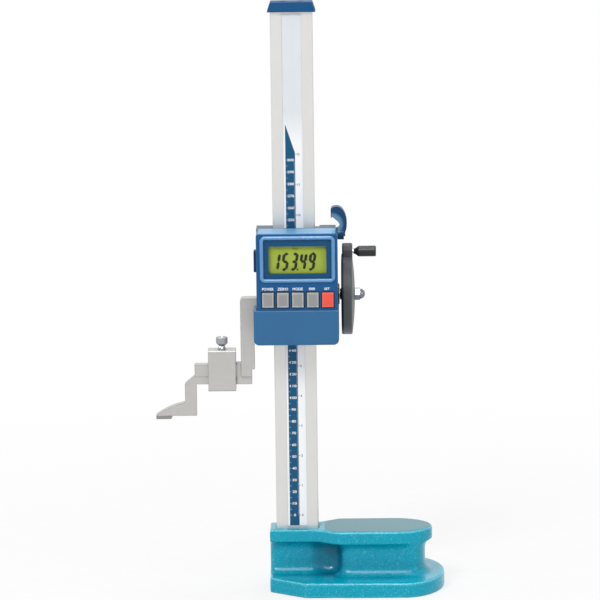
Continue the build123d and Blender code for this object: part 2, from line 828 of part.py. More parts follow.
with BuildPart() as handle_spindle:
    with BuildSketch(handle_plane):
        Polygon(
            (ear_outer_x - spindle_seat, 0),
            (ear_outer_x - spindle_seat, spindle_radius),
            (handle_end - spindle_head, spindle_radius),
            (handle_end - spindle_head, spindle_head_radius),
            (handle_end - 0.2, spindle_head_radius),
            (handle_end - 0.2, 0),
            align=None,
        )
    revolve(axis=handle_axis)
    with BuildSketch(Plane.YZ.offset(handle_end)):
        with Locations((shaft_y, wheel_axis_z + crank_radius)):
            Rectangle(0.6, 3 * spindle_head_radius)
    extrude(amount=-spindle_head / 2, mode=Mode.SUBTRACT)
finish(handle_spindle, "handle_spindle")

with BuildPart() as handle_grip:
    bore = spindle_radius + running_clearance
    head_bore = spindle_head_radius + 2 * case_clearance
    with BuildSketch(handle_plane):
        with BuildLine():
            Polyline(
                (handle_x, bore),
                (handle_x, grip_neck_diameter / 2),
                (handle_x + 0.8, grip_neck_diameter / 2),
            )
            Spline(
                (handle_x + 0.8, grip_neck_diameter / 2),
                (handle_x + grip_taper, grip_diameter / 2),
                tangents=[(1, 0.3), (1, 0)],
            )
            Line((handle_x + grip_taper, grip_diameter / 2), (handle_end - grip_end_radius, grip_diameter / 2))
            RadiusArc(
                (handle_end - grip_end_radius, grip_diameter / 2),
                (handle_end, grip_diameter / 2 - grip_end_radius),
                grip_end_radius,
            )
            Polyline(
                (handle_end, grip_diameter / 2 - grip_end_radius),
                (handle_end, head_bore),
                (handle_end - spindle_head - case_clearance, head_bore),
                (handle_end - spindle_head - case_clearance, bore),
                (handle_x, bore),
            )
        make_face()
    revolve(axis=handle_axis)
finish(handle_grip, "handle_grip")

# ---------------------------------------------------------------- lock lever
lever_x = slider_right + case_clearance
pad_radius = gib_screw_radius
lock_screw_tip = channel_right + lock_pad_length

with BuildPart() as brake_pad:
    with BuildSketch(Plane.YZ.offset(channel_right)):
        with Locations((0, lock_z)):
            Circle(pad_radius)
    extrude(amount=lock_pad_length)
finish(brake_pad, "brake_pad")

with BuildPart() as lock_screw:
    with BuildSketch(Plane.YZ.offset(lock_screw_tip)):
        with Locations((0, lock_z)):
            Circle(lock_screw_radius)
    extrude(amount=lever_x + lever_hub_length + 1.2 - lock_screw_tip)
    chamfer(lock_screw.edges().group_by(Axis.X)[-1], length=0.5)
    with BuildSketch(Plane.YZ.offset(lever_x + lever_hub_length + 1.2)):
        with Locations((0, lock_z)):
            Rectangle(3 * lock_screw_radius, 0.8)
    extrude(amount=-1, mode=Mode.SUBTRACT)
finish(lock_screw, "lock_screw")

with BuildPart() as lock_lever:
    with BuildSketch(Plane.XZ.offset(-lever_width / 2)):
        with BuildLine():
            hook_top = lock_z + lever_height
            hook_base = hook_top - lever_hook_thickness
            Line((lever_x, lock_z), (lever_x + lever_neck / 2, lock_z + lever_hub_radius))
            Spline(
                (lever_x + lever_neck / 2, lock_z + lever_hub_radius),
                (lever_x + lever_neck, lock_z + lever_height * 0.32),
                (lever_x + lever_neck * 0.6, hook_base - lever_hook_thickness * 0.7),
                (lever_x - lever_hook, hook_base),
            )
            Line((lever_x - lever_hook, hook_base), (lever_x - lever_hook, hook_top - 0.6))
            Spline(
                (lever_x - lever_hook, hook_top - 0.6),
                (lever_x + lever_neck, hook_top),
                (lever_x + lever_back, lock_z + lever_height * 0.58),
                (lever_x + lever_hub_length, lock_z),
            )
            Line((lever_x + lever_hub_length, lock_z), (lever_x, lock_z))
        make_face()
    extrude(amount=lever_width)
    with BuildSketch(Plane.YZ.offset(lever_x)):
        with Locations((0, lock_z)):
            Circle(lever_hub_radius)
    extrude(amount=lever_hub_length)
    with BuildSketch(Plane.YZ.offset(lever_x)):
        with Locations((0, lock_z)):
            Circle(lock_screw_radius)
    extrude(amount=lever_back, mode=Mode.SUBTRACT)
finish(lock_lever, "lock_lever")

# ---------------------------------------------------------------- display head
face_back = head_front - face_wall
window_back = face_back - window_thickness
head_width = head_left + head_right
head_middle = (head_right - head_left) / 2
key_points = [(features_x + (index - 2) * key_pitch, key_z) for index in range(len(key_names))]
key_shoulder = face_back - case_clearance
key_seat = key_shoulder - key_flange_thickness
switch_front = board_front + switch_height
stem_end = switch_front + plunger_height + key_travel + case_clearance

with BuildPart() as display_cover:
    with BuildSketch(Plane.XZ.offset(head_back)):
        with Locations((head_middle, (head_seam + head_top) / 2)):
            Rectangle(head_width, head_top - head_seam)
    extrude(amount=head_front - head_back)
    fillet(display_cover.edges().filter_by(Axis.Y).group_by(Axis.Z)[-1], radius=case_corner)
    fillet(display_cover.edges().filter_by(Axis.Z).group_by(Axis.Y)[0], radius=1.2)
    # Raised bezel round the window
    with BuildSketch(Plane.XZ.offset(head_front)):
        with Locations((features_x, bezel_z)):
            RectangleRounded(bezel_width, bezel_height, 2)
    extrude(amount=bezel_rise, taper=30)
    # Hollow behind the face
    with BuildSketch(Plane.XZ.offset(head_back)):
        with Locations((head_middle, head_seam + seam_wall)):
            Rectangle(
                head_width - 2 * case_wall,
                head_height - case_wall - seam_wall,
                align=(Align.CENTER, Align.MIN),
            )
    extrude(amount=face_back - head_back, mode=Mode.SUBTRACT)
    # Sloping recess in the bezel, then the opening itself
    with BuildSketch(Plane.XZ.offset(head_front + bezel_rise)):
        with Locations((features_x, bezel_z)):
            RectangleRounded(bezel_width - 2 * bezel_border, bezel_height - 2 * bezel_border, 1.2)
    extrude(amount=-bezel_rise - 0.8, taper=12, mode=Mode.SUBTRACT)
    with BuildSketch(Plane.XZ.offset(head_front)):
        with Locations((features_x, window_z)):
            RectangleRounded(window_width, window_height, 0.8)
    extrude(amount=-face_wall, mode=Mode.SUBTRACT)
    with BuildSketch(Plane.XZ.offset(head_front)):
        with Locations(*key_points):
            RectangleRounded(key_width + 2 * case_clearance, key_height + 2 * case_clearance, 0.8)
    extrude(amount=-face_wall, mode=Mode.SUBTRACT)
    # Opening in the left wall for the data port
    with BuildSketch(Plane.YZ.offset(-head_left)):
        with Locations((-port_front + port_depth / 2, port_z)):
            Rectangle(port_plug_depth + 2 * case_clearance, port_plug_height + 2 * case_clearance)
    extrude(amount=case_wall, mode=Mode.SUBTRACT)
finish(display_cover, "display_cover")

with BuildPart() as display_back:
    with BuildSketch(Plane.XZ.offset(slider_front)):
        with Locations((head_middle, (head_seam + head_top) / 2)):
            Rectangle(head_width, head_top - head_seam)
    extrude(amount=head_back - slider_front)
    fillet(display_back.edges().filter_by(Axis.Y).group_by(Axis.Z)[-1], radius=case_corner)
    with BuildSketch(Plane.XZ.offset(slider_front + case_wall)):
        with Locations((head_middle, (head_seam + head_top) / 2)):
            RectangleRounded(head_width - 2 * case_wall, head_top - head_seam - 2 * case_wall, 1.5)
    extrude(amount=head_back - slider_front, mode=Mode.SUBTRACT)
    # Tongue behind the battery, up to the slider's lower end
    with BuildSketch(Plane.XZ.offset(slider_front)):
        with Locations((head_middle, (slider_base + head_seam) / 2)):
            Rectangle(head_width - 2 * case_wall, head_seam - slider_base)
    extrude(amount=case_wall)
    # Window for the reader board
    with BuildSketch(Plane.XZ.offset(slider_front)):
        with Locations((0, reader_z)):
            RectangleRounded(reader_width + reader_play, reader_height + reader_play, reader_corner)
    extrude(amount=case_wall, mode=Mode.SUBTRACT)
    with BuildSketch(Plane.XZ.offset(slider_front)):
        with Locations(*case_screw_points):
            Circle(case_screw_radius + fit_clearance)
    extrude(amount=case_wall, mode=Mode.SUBTRACT)
finish(display_back, "display_back")

with BuildPart() as case_screws:
    case_screw = socket_screw(
        case_screw_radius, case_wall + case_screw_bite, case_screw_head_radius, case_screw_head
    )
    for x, z in case_screw_points:
        with Locations(Location((x, -slider_front - case_wall, z), (90, 0, 0))):
            add(case_screw)
finish(case_screws, "case_screws")

with BuildPart() as battery_cover:
    with BuildSketch(Plane.XZ.offset(cover_back)):
        with Locations(((cover_right - cover_left) / 2, (cover_base + head_seam) / 2)):
            Rectangle(cover_right + cover_left, head_seam - cover_base)
    extrude(amount=cover_front - cover_back)
    fillet(battery_cover.edges().filter_by(Axis.Y).group_by(Axis.Z)[0], radius=cover_corner)
    front_rim = battery_cover.faces().sort_by(Axis.Y)[0].edges()
    fillet(front_rim, radius=1.4)
    with BuildSketch(Plane.XZ.offset(cover_back)):
        with Locations(((cover_right - cover_left) / 2, (cover_base + case_wall + head_seam) / 2)):
            Rectangle(cover_right + cover_left - 2 * case_wall, head_seam - cover_base - case_wall)
    extrude(amount=cover_front - cover_back - case_wall, mode=Mode.SUBTRACT)
finish(battery_cover, "battery_cover")

with BuildPart() as lcd_window:
    with BuildSketch(Plane.XZ.offset(window_back)):
        with Locations((features_x, window_z)):
            RectangleRounded(window_width + 2 * window_lap, window_height + 2 * window_lap, 1)
    extrude(amount=window_thickness)
finish(lcd_window, "lcd_window")

with BuildPart() as lcd_panel:
    with BuildSketch(Plane.XZ.offset(window_back - case_clearance)):
        with Locations((features_x, window_z)):
            Rectangle(window_width + 2 * lcd_margin, window_height + 2 * lcd_margin)
    extrude(amount=-lcd_thickness)
finish(lcd_panel, "lcd_panel")

lcd_back = window_back - case_clearance - lcd_thickness
with BuildPart() as lcd_frame:
    with BuildSketch(Plane.XZ.offset(board_front)):
        with Locations((features_x, window_z)):
            Rectangle(window_width + 2 * lcd_margin, window_height + 2 * lcd_margin)
            Rectangle(window_width - 2 * case_wall, window_height - 2 * case_wall, mode=Mode.SUBTRACT)
    extrude(amount=lcd_back - board_front)
finish(lcd_frame, "lcd_frame")

with BuildPart() as circuit_board:
    with BuildSketch(Plane.XZ.offset(board_front)):
        with Locations((head_middle, (board_base + head_top - board_margin) / 2)):
            Rectangle(head_width - 2 * board_margin, head_top - board_margin - board_base)
    extrude(amount=-board_thickness)
finish(circuit_board, "circuit_board")

with BuildPart() as reader_board:
    with BuildSketch(Plane.XZ.offset(column_front + reader_gap)):
        with Locations((0, reader_z)):
            RectangleRounded(reader_width, reader_height, reader_corner)
    extrude(amount=reader_thickness)
finish(reader_board, "reader_board")

with BuildPart() as key_switches:
    with BuildSketch(Plane.XZ.offset(board_front)):
        with Locations(*key_points):
            Rectangle(switch_size, switch_size)
    extrude(amount=switch_height)
    with BuildSketch(Plane.XZ.offset(switch_front)):
        with Locations(*key_points):
            Circle(key_stem_radius)
    extrude(amount=plunger_height)
finish(key_switches, "key_switches")

for key_name, key_point in zip(key_names, key_points):
    with BuildPart() as key:
        with BuildSketch(Plane.XZ.offset(key_seat)):
            with Locations(key_point):
                RectangleRounded(key_width, key_height, 0.6)
        extrude(amount=head_front + key_rise - key_seat)
        chamfer(key.faces().sort_by(Axis.Y)[0].edges(), length=key_edge)
        with BuildSketch(Plane.XZ.offset(key_seat)):
            with Locations(key_point):
                Rectangle(key_width + 2 * key_flange, key_height)
        extrude(amount=key_flange_thickness)
        with BuildSketch(Plane.XZ.offset(stem_end)):
            with Locations(key_point):
                Circle(key_stem_radius)
        extrude(amount=key_seat - stem_end)
    finish(key, key_name)

with BuildPart() as battery_holder:
    holder_back = slider_front + case_wall
    holder_front = holder_back + holder_depth
    with BuildSketch(Plane.XZ.offset(holder_back)):
        with Locations((head_middle, battery_z)):
            Rectangle(2 * (battery_radius + holder_wall), 2 * (battery_radius + holder_wall))
    extrude(amount=holder_depth)
    with BuildSketch(Plane.XZ.offset(holder_front)):
        with Locations((head_middle, battery_z)):
            Circle(battery_radius + case_clearance)
    extrude(amount=-battery_thickness - case_clearance, mode=Mode.SUBTRACT)
finish(battery_holder, "battery_holder")

with BuildPart() as battery:
    with BuildSketch(Plane.XZ.offset(holder_front)):
        with Locations((head_middle, battery_z)):
            Circle(battery_radius)
    extrude(amount=-battery_thickness)
    chamfer(battery.edges().group_by(Axis.Y)[0], length=0.4)
finish(battery, "battery")

with BuildPart() as port_cover:
    with BuildSketch(Plane.YZ.offset(-head_left)):
        with Locations((-port_front + port_depth / 2, port_z)):
            RectangleRounded(port_depth, port_height, 1.5)
    extrude(amount=-port_rise)
    fillet(port_cover.faces().sort_by(Axis.X)[0].edges(), radius=0.9)
    with BuildSketch(Plane.YZ.offset(-head_left)):
        with Locations((-port_front + port_depth / 2, port_z)):
            Rectangle(port_plug_depth, port_plug_height)
    extrude(amount=case_wall)
finish(port_cover, "port_cover")

with BuildPart() as data_port:
    with BuildSketch(Plane.XZ.offset(board_front)):
        with Locations((-head_left + case_wall + 1, port_z)):
            Rectangle(port_socket, port_plug_height, align=(Align.MIN, Align.CENTER))
    extrude(amount=port_plug_depth)
finish(data_port, "data_port")

# ---------------------------------------------------------------- scriber arm
arm_screw_head_seat = arm_left - jaw_screw_head - 0.6

with BuildPart() as scriber_arm:
    with BuildSketch(Plane.XZ.offset(-arm_thickness / 2)):
        with BuildLine():
            Polyline(
                (-arm_left, arm_block_top - 2),
                (-arm_left, arm_top),
                (-arm_right, arm_top),
                (-arm_right, arm_shoulder),
                (-arm_block_right, arm_shoulder),
                (-arm_block_right, bar_base),
                (-arm_left, bar_base),
                close=True,
            )
        make_face()
        with Locations(((slider_left + arm_right) / -2, (arm_pad_base + arm_top) / 2)):
            Rectangle(arm_right - slider_left, arm_top - arm_pad_base)
    extrude(amount=arm_thickness)
    top_corner = scriber_arm.edges().filter_by(Axis.Y).sort_by(Axis.Z)[-2:].sort_by(Axis.X)[0]
    fillet(top_corner, radius=2.5)
    # Corner block and the bar that carries the scriber
    with BuildSketch(Plane.XZ.offset(-bar_thickness / 2)):
        with Locations((-arm_block_right, arm_block_base)):
            Rectangle(arm_block_left - arm_block_right, arm_block_height, align=(Align.MAX, Align.MIN))
        with Locations((-arm_block_left, bar_base)):
            Rectangle(bar_end - arm_block_left, bar_height, align=(Align.MAX, Align.MIN))
    extrude(amount=bar_thickness)
    with BuildSketch(Plane.YZ.offset(-arm_left)):
        with Locations(*jaw_screw_points):
            Circle(jaw_screw_head_radius + fit_clearance)
    extrude(amount=jaw_screw_head + 0.6, mode=Mode.SUBTRACT)
    with BuildSketch(Plane.YZ.offset(-arm_left)):
        with Locations(*jaw_screw_points):
            Circle(jaw_screw_radius + fit_clearance)
    extrude(amount=arm_left - slider_left, mode=Mode.SUBTRACT)
finish(scriber_arm, "scriber_arm")

with BuildPart() as arm_screws:
    arm_screw = socket_screw(
        jaw_screw_radius,
        arm_screw_head_seat - slider_left + jaw_screw_bite,
        jaw_screw_head_radius,
        jaw_screw_head,
    )
    for y, z in jaw_screw_points:
        with Locations(Location((-arm_screw_head_seat, y, z), (0, -90, 0))):
            add(arm_screw)
finish(arm_screws, "arm_screws")

clamp_right = arm_block_left + clamp_gap
clamp_left = clamp_right + clamp_width
clamp_middle = (clamp_left + clamp_right) / 2
scriber_base = bar_base - scriber_height
window_base = scriber_base - fit_clearance
window_top = bar_base + bar_height + fit_clearance
clamp_base = window_base - clamp_floor
clamp_top = window_top + clamp_roof

with BuildPart() as scriber_clamp:
    with BuildSketch(Plane.YZ.offset(-clamp_left)):
        with Locations((0, (clamp_base + clamp_top) / 2)):
            Rectangle(bar_thickness + 2 * slide_clearance + 2 * clamp_wall, clamp_top - clamp_base)
        with Locations((0, (window_base + window_top) / 2)):
            Rectangle(bar_thickness + 2 * slide_clearance, window_top - window_base, mode=Mode.SUBTRACT)
    extrude(amount=clamp_width)
    chamfer(scriber_clamp.edges().filter_by(Axis.X).group_by(Axis.Z)[-1], length=0.8)
    chamfer(scriber_clamp.edges().filter_by(Axis.X).group_by(Axis.Z)[0], length=0.8)
    with BuildSketch(Plane.XY.offset(clamp_top)):
        with Locations((-clamp_middle, 0)):
            Circle(thumb_radius + fit_clearance)
    extrude(amount=window_top - clamp_top, mode=Mode.SUBTRACT)
finish(scriber_clamp, "scriber_clamp")

with BuildPart() as clamp_screw:
    thumb_plane = Plane((-clamp_middle, 0, 0), x_dir=(1, 0, 0), z_dir=(0, -1, 0))
    neck_z = clamp_top + 0.4
    head_z = neck_z + thumb_neck
    with BuildSketch(thumb_plane):
        Polygon(
            (0, window_top),
            (thumb_radius, window_top),
            (thumb_radius, neck_z),
            (thumb_neck_radius, neck_z),
            (thumb_neck_radius, neck_z + 1.2),
            (thumb_neck_radius * 0.72, neck_z + thumb_neck * 0.6),
            (thumb_head_radius - 0.8, head_z),
            (thumb_head_radius, head_z + 0.8),
            (thumb_head_radius, head_z + thumb_head - 0.6),
            (thumb_head_radius - 0.6, head_z + thumb_head),
            (0, head_z + thumb_head),
            align=None,
        )
    revolve(axis=Axis((-clamp_middle, 0, 0), (0, 0, 1)))
    with BuildSketch(Plane.XY.offset(head_z + thumb_head)):
        with Locations((-clamp_middle, 0)):
            Rectangle(1.4, 3 * thumb_head_radius)
    extrude(amount=-thumb_head * 0.35, mode=Mode.SUBTRACT)
finish(clamp_screw, "clamp_screw")

# Cranked scriber: shank under the bar, a straight leg and a toe with a curved back
scriber_top = bar_base - fit_clearance
tip_top = foot_sole + 0.4
with BuildPart() as scriber:
    with BuildSketch(Plane.XZ.offset(-bar_thickness / 2)):
        with BuildLine():
            Polyline(
                (-scriber_tip, foot_sole),
                (-leg_right, foot_sole),
                (-leg_right, scriber_base),
                (-scriber_tail, scriber_base),
                (-scriber_tail, scriber_top),
                (-bar_end - 0.6, scriber_top),
                (-leg_left, scriber_base),
                (-leg_left, foot_top),
            )
            ThreePointArc(
                (-leg_left, foot_top),
                (-(leg_left + scriber_tip) / 2, (foot_top + tip_top) / 2 + 1.6),
                (-scriber_tip, tip_top),
            )
            Line((-scriber_tip, tip_top), (-scriber_tip, foot_sole))
        make_face()
    extrude(amount=bar_thickness)
finish(scriber, "scriber")

with BuildPart() as carbide_tip:
    with BuildSketch(Plane.XZ.offset(-bar_thickness / 2)):
        Polygon(
            (-scriber_tip, foot_sole),
            (-scriber_tip, foot_sole - carbide_thickness),
            (-scriber_tip + carbide_length - 1.4, foot_sole - carbide_thickness),
            (-scriber_tip + carbide_length, foot_sole),
            align=None,
        )
    extrude(amount=bar_thickness)
finish(carbide_tip, "carbide_tip")
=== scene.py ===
import math
import bpy
from mathutils import Matrix, Vector


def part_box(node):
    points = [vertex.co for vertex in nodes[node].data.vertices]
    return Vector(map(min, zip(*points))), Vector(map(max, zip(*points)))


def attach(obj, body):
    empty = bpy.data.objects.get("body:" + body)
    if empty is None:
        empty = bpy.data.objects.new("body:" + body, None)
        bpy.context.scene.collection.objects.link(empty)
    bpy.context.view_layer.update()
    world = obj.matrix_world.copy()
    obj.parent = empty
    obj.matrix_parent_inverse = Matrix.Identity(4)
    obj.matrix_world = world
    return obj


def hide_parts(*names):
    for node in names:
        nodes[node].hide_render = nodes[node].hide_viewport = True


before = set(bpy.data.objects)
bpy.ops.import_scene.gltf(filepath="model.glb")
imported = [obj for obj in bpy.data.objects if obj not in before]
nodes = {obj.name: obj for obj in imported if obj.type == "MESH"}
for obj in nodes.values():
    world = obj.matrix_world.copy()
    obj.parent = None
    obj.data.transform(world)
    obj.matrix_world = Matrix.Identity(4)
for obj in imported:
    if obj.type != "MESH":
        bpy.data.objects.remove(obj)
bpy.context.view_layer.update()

mm = 0.001


# small helpers
def colour(r, g, b):
    # 0-255 screen colour to the linear one that sockets take
    def straight(v):
        v = v / 255
        return v / 12.92 if v <= 0.04045 else ((v + 0.055) / 1.055) ** 2.4
    return (straight(r), straight(g), straight(b), 1.0)


def clearSelection():
    if bpy.context.object and bpy.context.object.mode != "OBJECT":
        bpy.ops.object.mode_set(mode="OBJECT")
    bpy.ops.object.select_all(action="DESELECT")


def pick(piece):
    clearSelection()
    piece.select_set(True)
    bpy.context.view_layer.objects.active = piece


def editAll(piece):
    pick(piece)
    bpy.ops.object.mode_set(mode="EDIT")
    bpy.ops.mesh.select_all(action="SELECT")


def objectMode():
    bpy.ops.object.mode_set(mode="OBJECT")


def bakePlace(piece):
    pick(piece)
    bpy.ops.object.transform_apply(location=True, rotation=True, scale=True)


def joinAll(pieces):
    clearSelection()
    for piece in pieces:
        piece.select_set(True)
    bpy.context.view_layer.objects.active = pieces[0]
    if len(pieces) > 1:
        bpy.ops.object.join()
    return bpy.context.object


def settle(piece, name, body, material):
    bakePlace(piece)
    piece.name = name
    piece.data.name = name
    piece.data.materials.clear()
    piece.data.materials.append(material)
    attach(piece, body)
    return piece


def printedWord(text, x, y, z, height, width=None, depth=0.03, bold=0.02):
    # a word in the upright front plane, its middle at x, z and its back at y
    clearSelection()
    bpy.ops.object.text_add(location=(0, 0, 0))
    word = bpy.context.object
    word.data.body = text
    word.data.size = 1
    word.data.extrude = 0.5
    word.data.resolution_u = 3
    word.data.offset = bold   # a heavier stroke
    bpy.ops.object.convert(target="MESH")
    word = bpy.context.object
    low = [min(v.co[i] for v in word.data.vertices) for i in range(3)]
    high = [max(v.co[i] for v in word.data.vertices) for i in range(3)]
    scaleZ = height / (high[1] - low[1])
    scaleX = scaleZ if width is None else width / (high[0] - low[0])
    word.location = (-(low[0] + high[0]) / 2, -(low[1] + high[1]) / 2, 0)
    bakePlace(word)
    word.scale = (scaleX * mm, scaleZ * mm, depth * mm)
    bakePlace(word)
    word.rotation_euler = (math.radians(90), 0, 0)
    word.location = (x * mm, (y - depth / 2) * mm, z * mm)
    bakePlace(word)
    return word


def flatBar(x0, x1, y, z0, z1, depth=0.03):
    # a thin printed bar standing in the front plane, grown forwards from y
    clearSelection()
    bpy.ops.mesh.primitive_plane_add(size=1, rotation=(math.radians(90), 0, 0),
                                     location=((x0 + x1) / 2 * mm, y * mm, (z0 + z1) / 2 * mm))
    bar = bpy.context.object
    bar.scale = ((x1 - x0) * mm, (z1 - z0) * mm, 1)
    bakePlace(bar)
    editAll(bar)
    bpy.ops.mesh.extrude_region_move(TRANSFORM_OT_translate={"value": (0, -depth * mm, 0)})
    bpy.ops.mesh.select_all(action="SELECT")
    bpy.ops.mesh.normals_make_consistent(inside=False)
    objectMode()
    return bar


def rowUp(piece, count, step):
    # copies of a piece in a row that climbs
    pick(piece)
    row = piece.modifiers.new("row", "ARRAY")
    row.count = count
    row.use_relative_offset = False
    row.use_constant_offset = True
    row.constant_offset_displace = (0, 0, step * mm)
    bpy.ops.object.modifier_apply(modifier="row")


# shader helpers
def put(tree, kind, values=None, **fields):
    node = tree.nodes.new(kind)
    for key, value in fields.items():
        setattr(node, key, value)
    for key, value in (values or {}).items():
        node.inputs[key].default_value = value
    return node


def maths(tree, operation, a, b=None, clamp=False):
    node = tree.nodes.new("ShaderNodeMath")
    node.operation = operation
    node.use_clamp = clamp
    for index, value in enumerate((a, b)):
        if value is None:
            continue
        if isinstance(value, (int, float)):
            node.inputs[index].default_value = value
        else:
            tree.links.new(value, node.inputs[index])
    return node.outputs[0]


def mixColours(tree, factor, a, b):
    node = tree.nodes.new("ShaderNodeMix")
    node.data_type = "RGBA"
    for socket, value in ((node.inputs[0], factor), (node.inputs[6], a), (node.inputs[7], b)):
        if isinstance(value, (int, float, tuple)):
            socket.default_value = value
        else:
            tree.links.new(value, socket)
    return node.outputs[2]


def mapRange(tree, value, low, high, newLow=0.0, newHigh=1.0):
    node = put(tree, "ShaderNodeMapRange", {"From Min": low, "From Max": high,
                                            "To Min": newLow, "To Max": newHigh})
    tree.links.new(value, node.inputs["Value"])
    return node.outputs["Result"]


def newGroup(name, ins, outs):
    tree = bpy.data.node_groups.new(name, "ShaderNodeTree")
    for label, kind, value in ins:
        tree.interface.new_socket(label, in_out="INPUT", socket_type=kind).default_value = value
    for label, kind in outs:
        tree.interface.new_socket(label, in_out="OUTPUT", socket_type=kind)
    return tree, tree.nodes.new("NodeGroupInput"), tree.nodes.new("NodeGroupOutput")


floatSocket, colourSocket, vectorSocket = "NodeSocketFloat", "NodeSocketColor", "NodeSocketVector"
skinOutputs = [("Colour", colourSocket), ("Roughness", floatSocket), ("Height", floatSocket)]


def buildEdgeWear():
    # 1 on sharp edges, broken up by a little noise. Finishes use it for real edge wear, for painted shade
    # along edges and for painted highlights on rims
    tree, inp, out = newGroup("edgeWearAndPaintedLight", [("Radius", floatSocket, 0.0006), ("Amount", floatSocket, 1.0)],
                              [("Mask", floatSocket)])
    link = tree.links.new
    bevel = put(tree, "ShaderNodeBevel", samples=6)
    geometry = put(tree, "ShaderNodeNewGeometry")
    link(inp.outputs["Radius"], bevel.inputs["Radius"])
    dot = put(tree, "ShaderNodeVectorMath", operation="DOT_PRODUCT")
    link(bevel.outputs[0], dot.inputs[0])
    link(geometry.outputs["Normal"], dot.inputs[1])
    edge = mapRange(tree, dot.outputs["Value"], 0.995, 0.86)
    place = put(tree, "ShaderNodeTexCoord")
    noise = put(tree, "ShaderNodeTexNoise", {"Scale": 260.0, "Detail": 3.0})
    link(place.outputs["Object"], noise.inputs["Vector"])
    broken = mapRange(tree, noise.outputs["Fac"], 0.3, 0.6, 0.45, 1.0)
    wornAndPaintedLightEdge = maths(tree, "MULTIPLY", edge, broken)
    link(maths(tree, "MULTIPLY", wornAndPaintedLightEdge, inp.outputs["Amount"], clamp=True), out.inputs["Mask"])
    return tree


def buildMottle():
    # slow colour drift plus a fine skin: for paint, plastic and cast metal
    tree, inp, out = newGroup("mottle",
                              [("Colour", colourSocket, (0.5, 0.5, 0.5, 1)),
                               ("Drift", floatSocket, 0.1),
                               ("Skin Scale", floatSocket, 900.0),
                               ("Roughness", floatSocket, 0.4),
                               ("Spread", floatSocket, 0.1)],
                              skinOutputs)
    link = tree.links.new
    place = put(tree, "ShaderNodeTexCoord")
    slow = put(tree, "ShaderNodeTexNoise", {"Scale": 22.0, "Detail": 4.0, "Roughness": 0.6})
    skin = put(tree, "ShaderNodeTexNoise", {"Detail": 2.0, "Roughness": 0.55})
    link(place.outputs["Object"], slow.inputs["Vector"])
    link(place.outputs["Object"], skin.inputs["Vector"])
    link(inp.outputs["Skin Scale"], skin.inputs["Scale"])
    both = maths(tree, "ADD", maths(tree, "MULTIPLY", slow.outputs["Fac"], 0.7),
                 maths(tree, "MULTIPLY", skin.outputs["Fac"], 0.3))
    swing = maths(tree, "MULTIPLY", maths(tree, "SUBTRACT", both, 0.5), inp.outputs["Drift"])
    brighter = maths(tree, "ADD", maths(tree, "MULTIPLY", swing, 2.0), 1.0)
    tone = put(tree, "ShaderNodeHueSaturation")
    link(inp.outputs["Colour"], tone.inputs["Color"])
    link(brighter, tone.inputs["Value"])
    link(tone.outputs["Color"], out.inputs["Colour"])
    roughSwing = maths(tree, "MULTIPLY", maths(tree, "SUBTRACT", slow.outputs["Fac"], 0.5),
                       inp.outputs["Spread"])
    link(maths(tree, "ADD", roughSwing, inp.outputs["Roughness"], clamp=True), out.inputs["Roughness"])
    link(skin.outputs["Fac"], out.inputs["Height"])
    return tree


def buildBrushed():
    # fine drawn lines; the longest scale runs across them
    tree, inp, out = newGroup("brushed",
                              [("Across", vectorSocket, (900, 900, 12)),
                               ("Colour", colourSocket, (0.6, 0.6, 0.6, 1)),
                               ("Contrast", floatSocket, 0.12),
                               ("Roughness", floatSocket, 0.3)],
                              skinOutputs)
    link = tree.links.new
    place = put(tree, "ShaderNodeTexCoord")
    stretch = put(tree, "ShaderNodeVectorMath", operation="MULTIPLY")
    link(place.outputs["Object"], stretch.inputs[0])
    link(inp.outputs["Across"], stretch.inputs[1])
    lines = put(tree, "ShaderNodeTexNoise", {"Scale": 1.0, "Detail": 5.0, "Roughness": 0.65})
    link(stretch.outputs["Vector"], lines.inputs["Vector"])
    cloud = put(tree, "ShaderNodeTexNoise", {"Scale": 30.0, "Detail": 3.0})
    link(place.outputs["Object"], cloud.inputs["Vector"])
    both = maths(tree, "ADD", maths(tree, "MULTIPLY", lines.outputs["Fac"], 0.75),
                 maths(tree, "MULTIPLY", cloud.outputs["Fac"], 0.25))
    swing = maths(tree, "MULTIPLY", maths(tree, "SUBTRACT", both, 0.5), inp.outputs["Contrast"])
    tone = put(tree, "ShaderNodeHueSaturation")
    link(inp.outputs["Colour"], tone.inputs["Color"])
    link(maths(tree, "ADD", maths(tree, "MULTIPLY", swing, 2.0), 1.0), tone.inputs["Value"])
    link(tone.outputs["Color"], out.inputs["Colour"])
    link(maths(tree, "ADD", swing, inp.outputs["Roughness"], clamp=True), out.inputs["Roughness"])
    link(lines.outputs["Fac"], out.inputs["Height"])
    return tree


edgeWearAndPaintedLight = buildEdgeWear()
mottle = buildMottle()
brushed = buildBrushed()
print("shader groups built")


def useGroup(tree, group, values):
    node = tree.nodes.new("ShaderNodeGroup")
    node.node_tree = group
    for key, value in values.items():
        node.inputs[key].default_value = value
    return node


def newMaterial(name):
    material = bpy.data.materials.new(name)
    material.use_nodes = True
    tree = material.node_tree
    shader = tree.nodes["Principled BSDF"]
    return material, tree, shader


def bumpTo(tree, shader, height, strength, distance):
    bump = put(tree, "ShaderNodeBump", {"Strength": strength, "Distance": distance})
    tree.links.new(height, bump.inputs["Height"])
    tree.links.new(bump.outputs["Normal"], shader.inputs["Normal"])


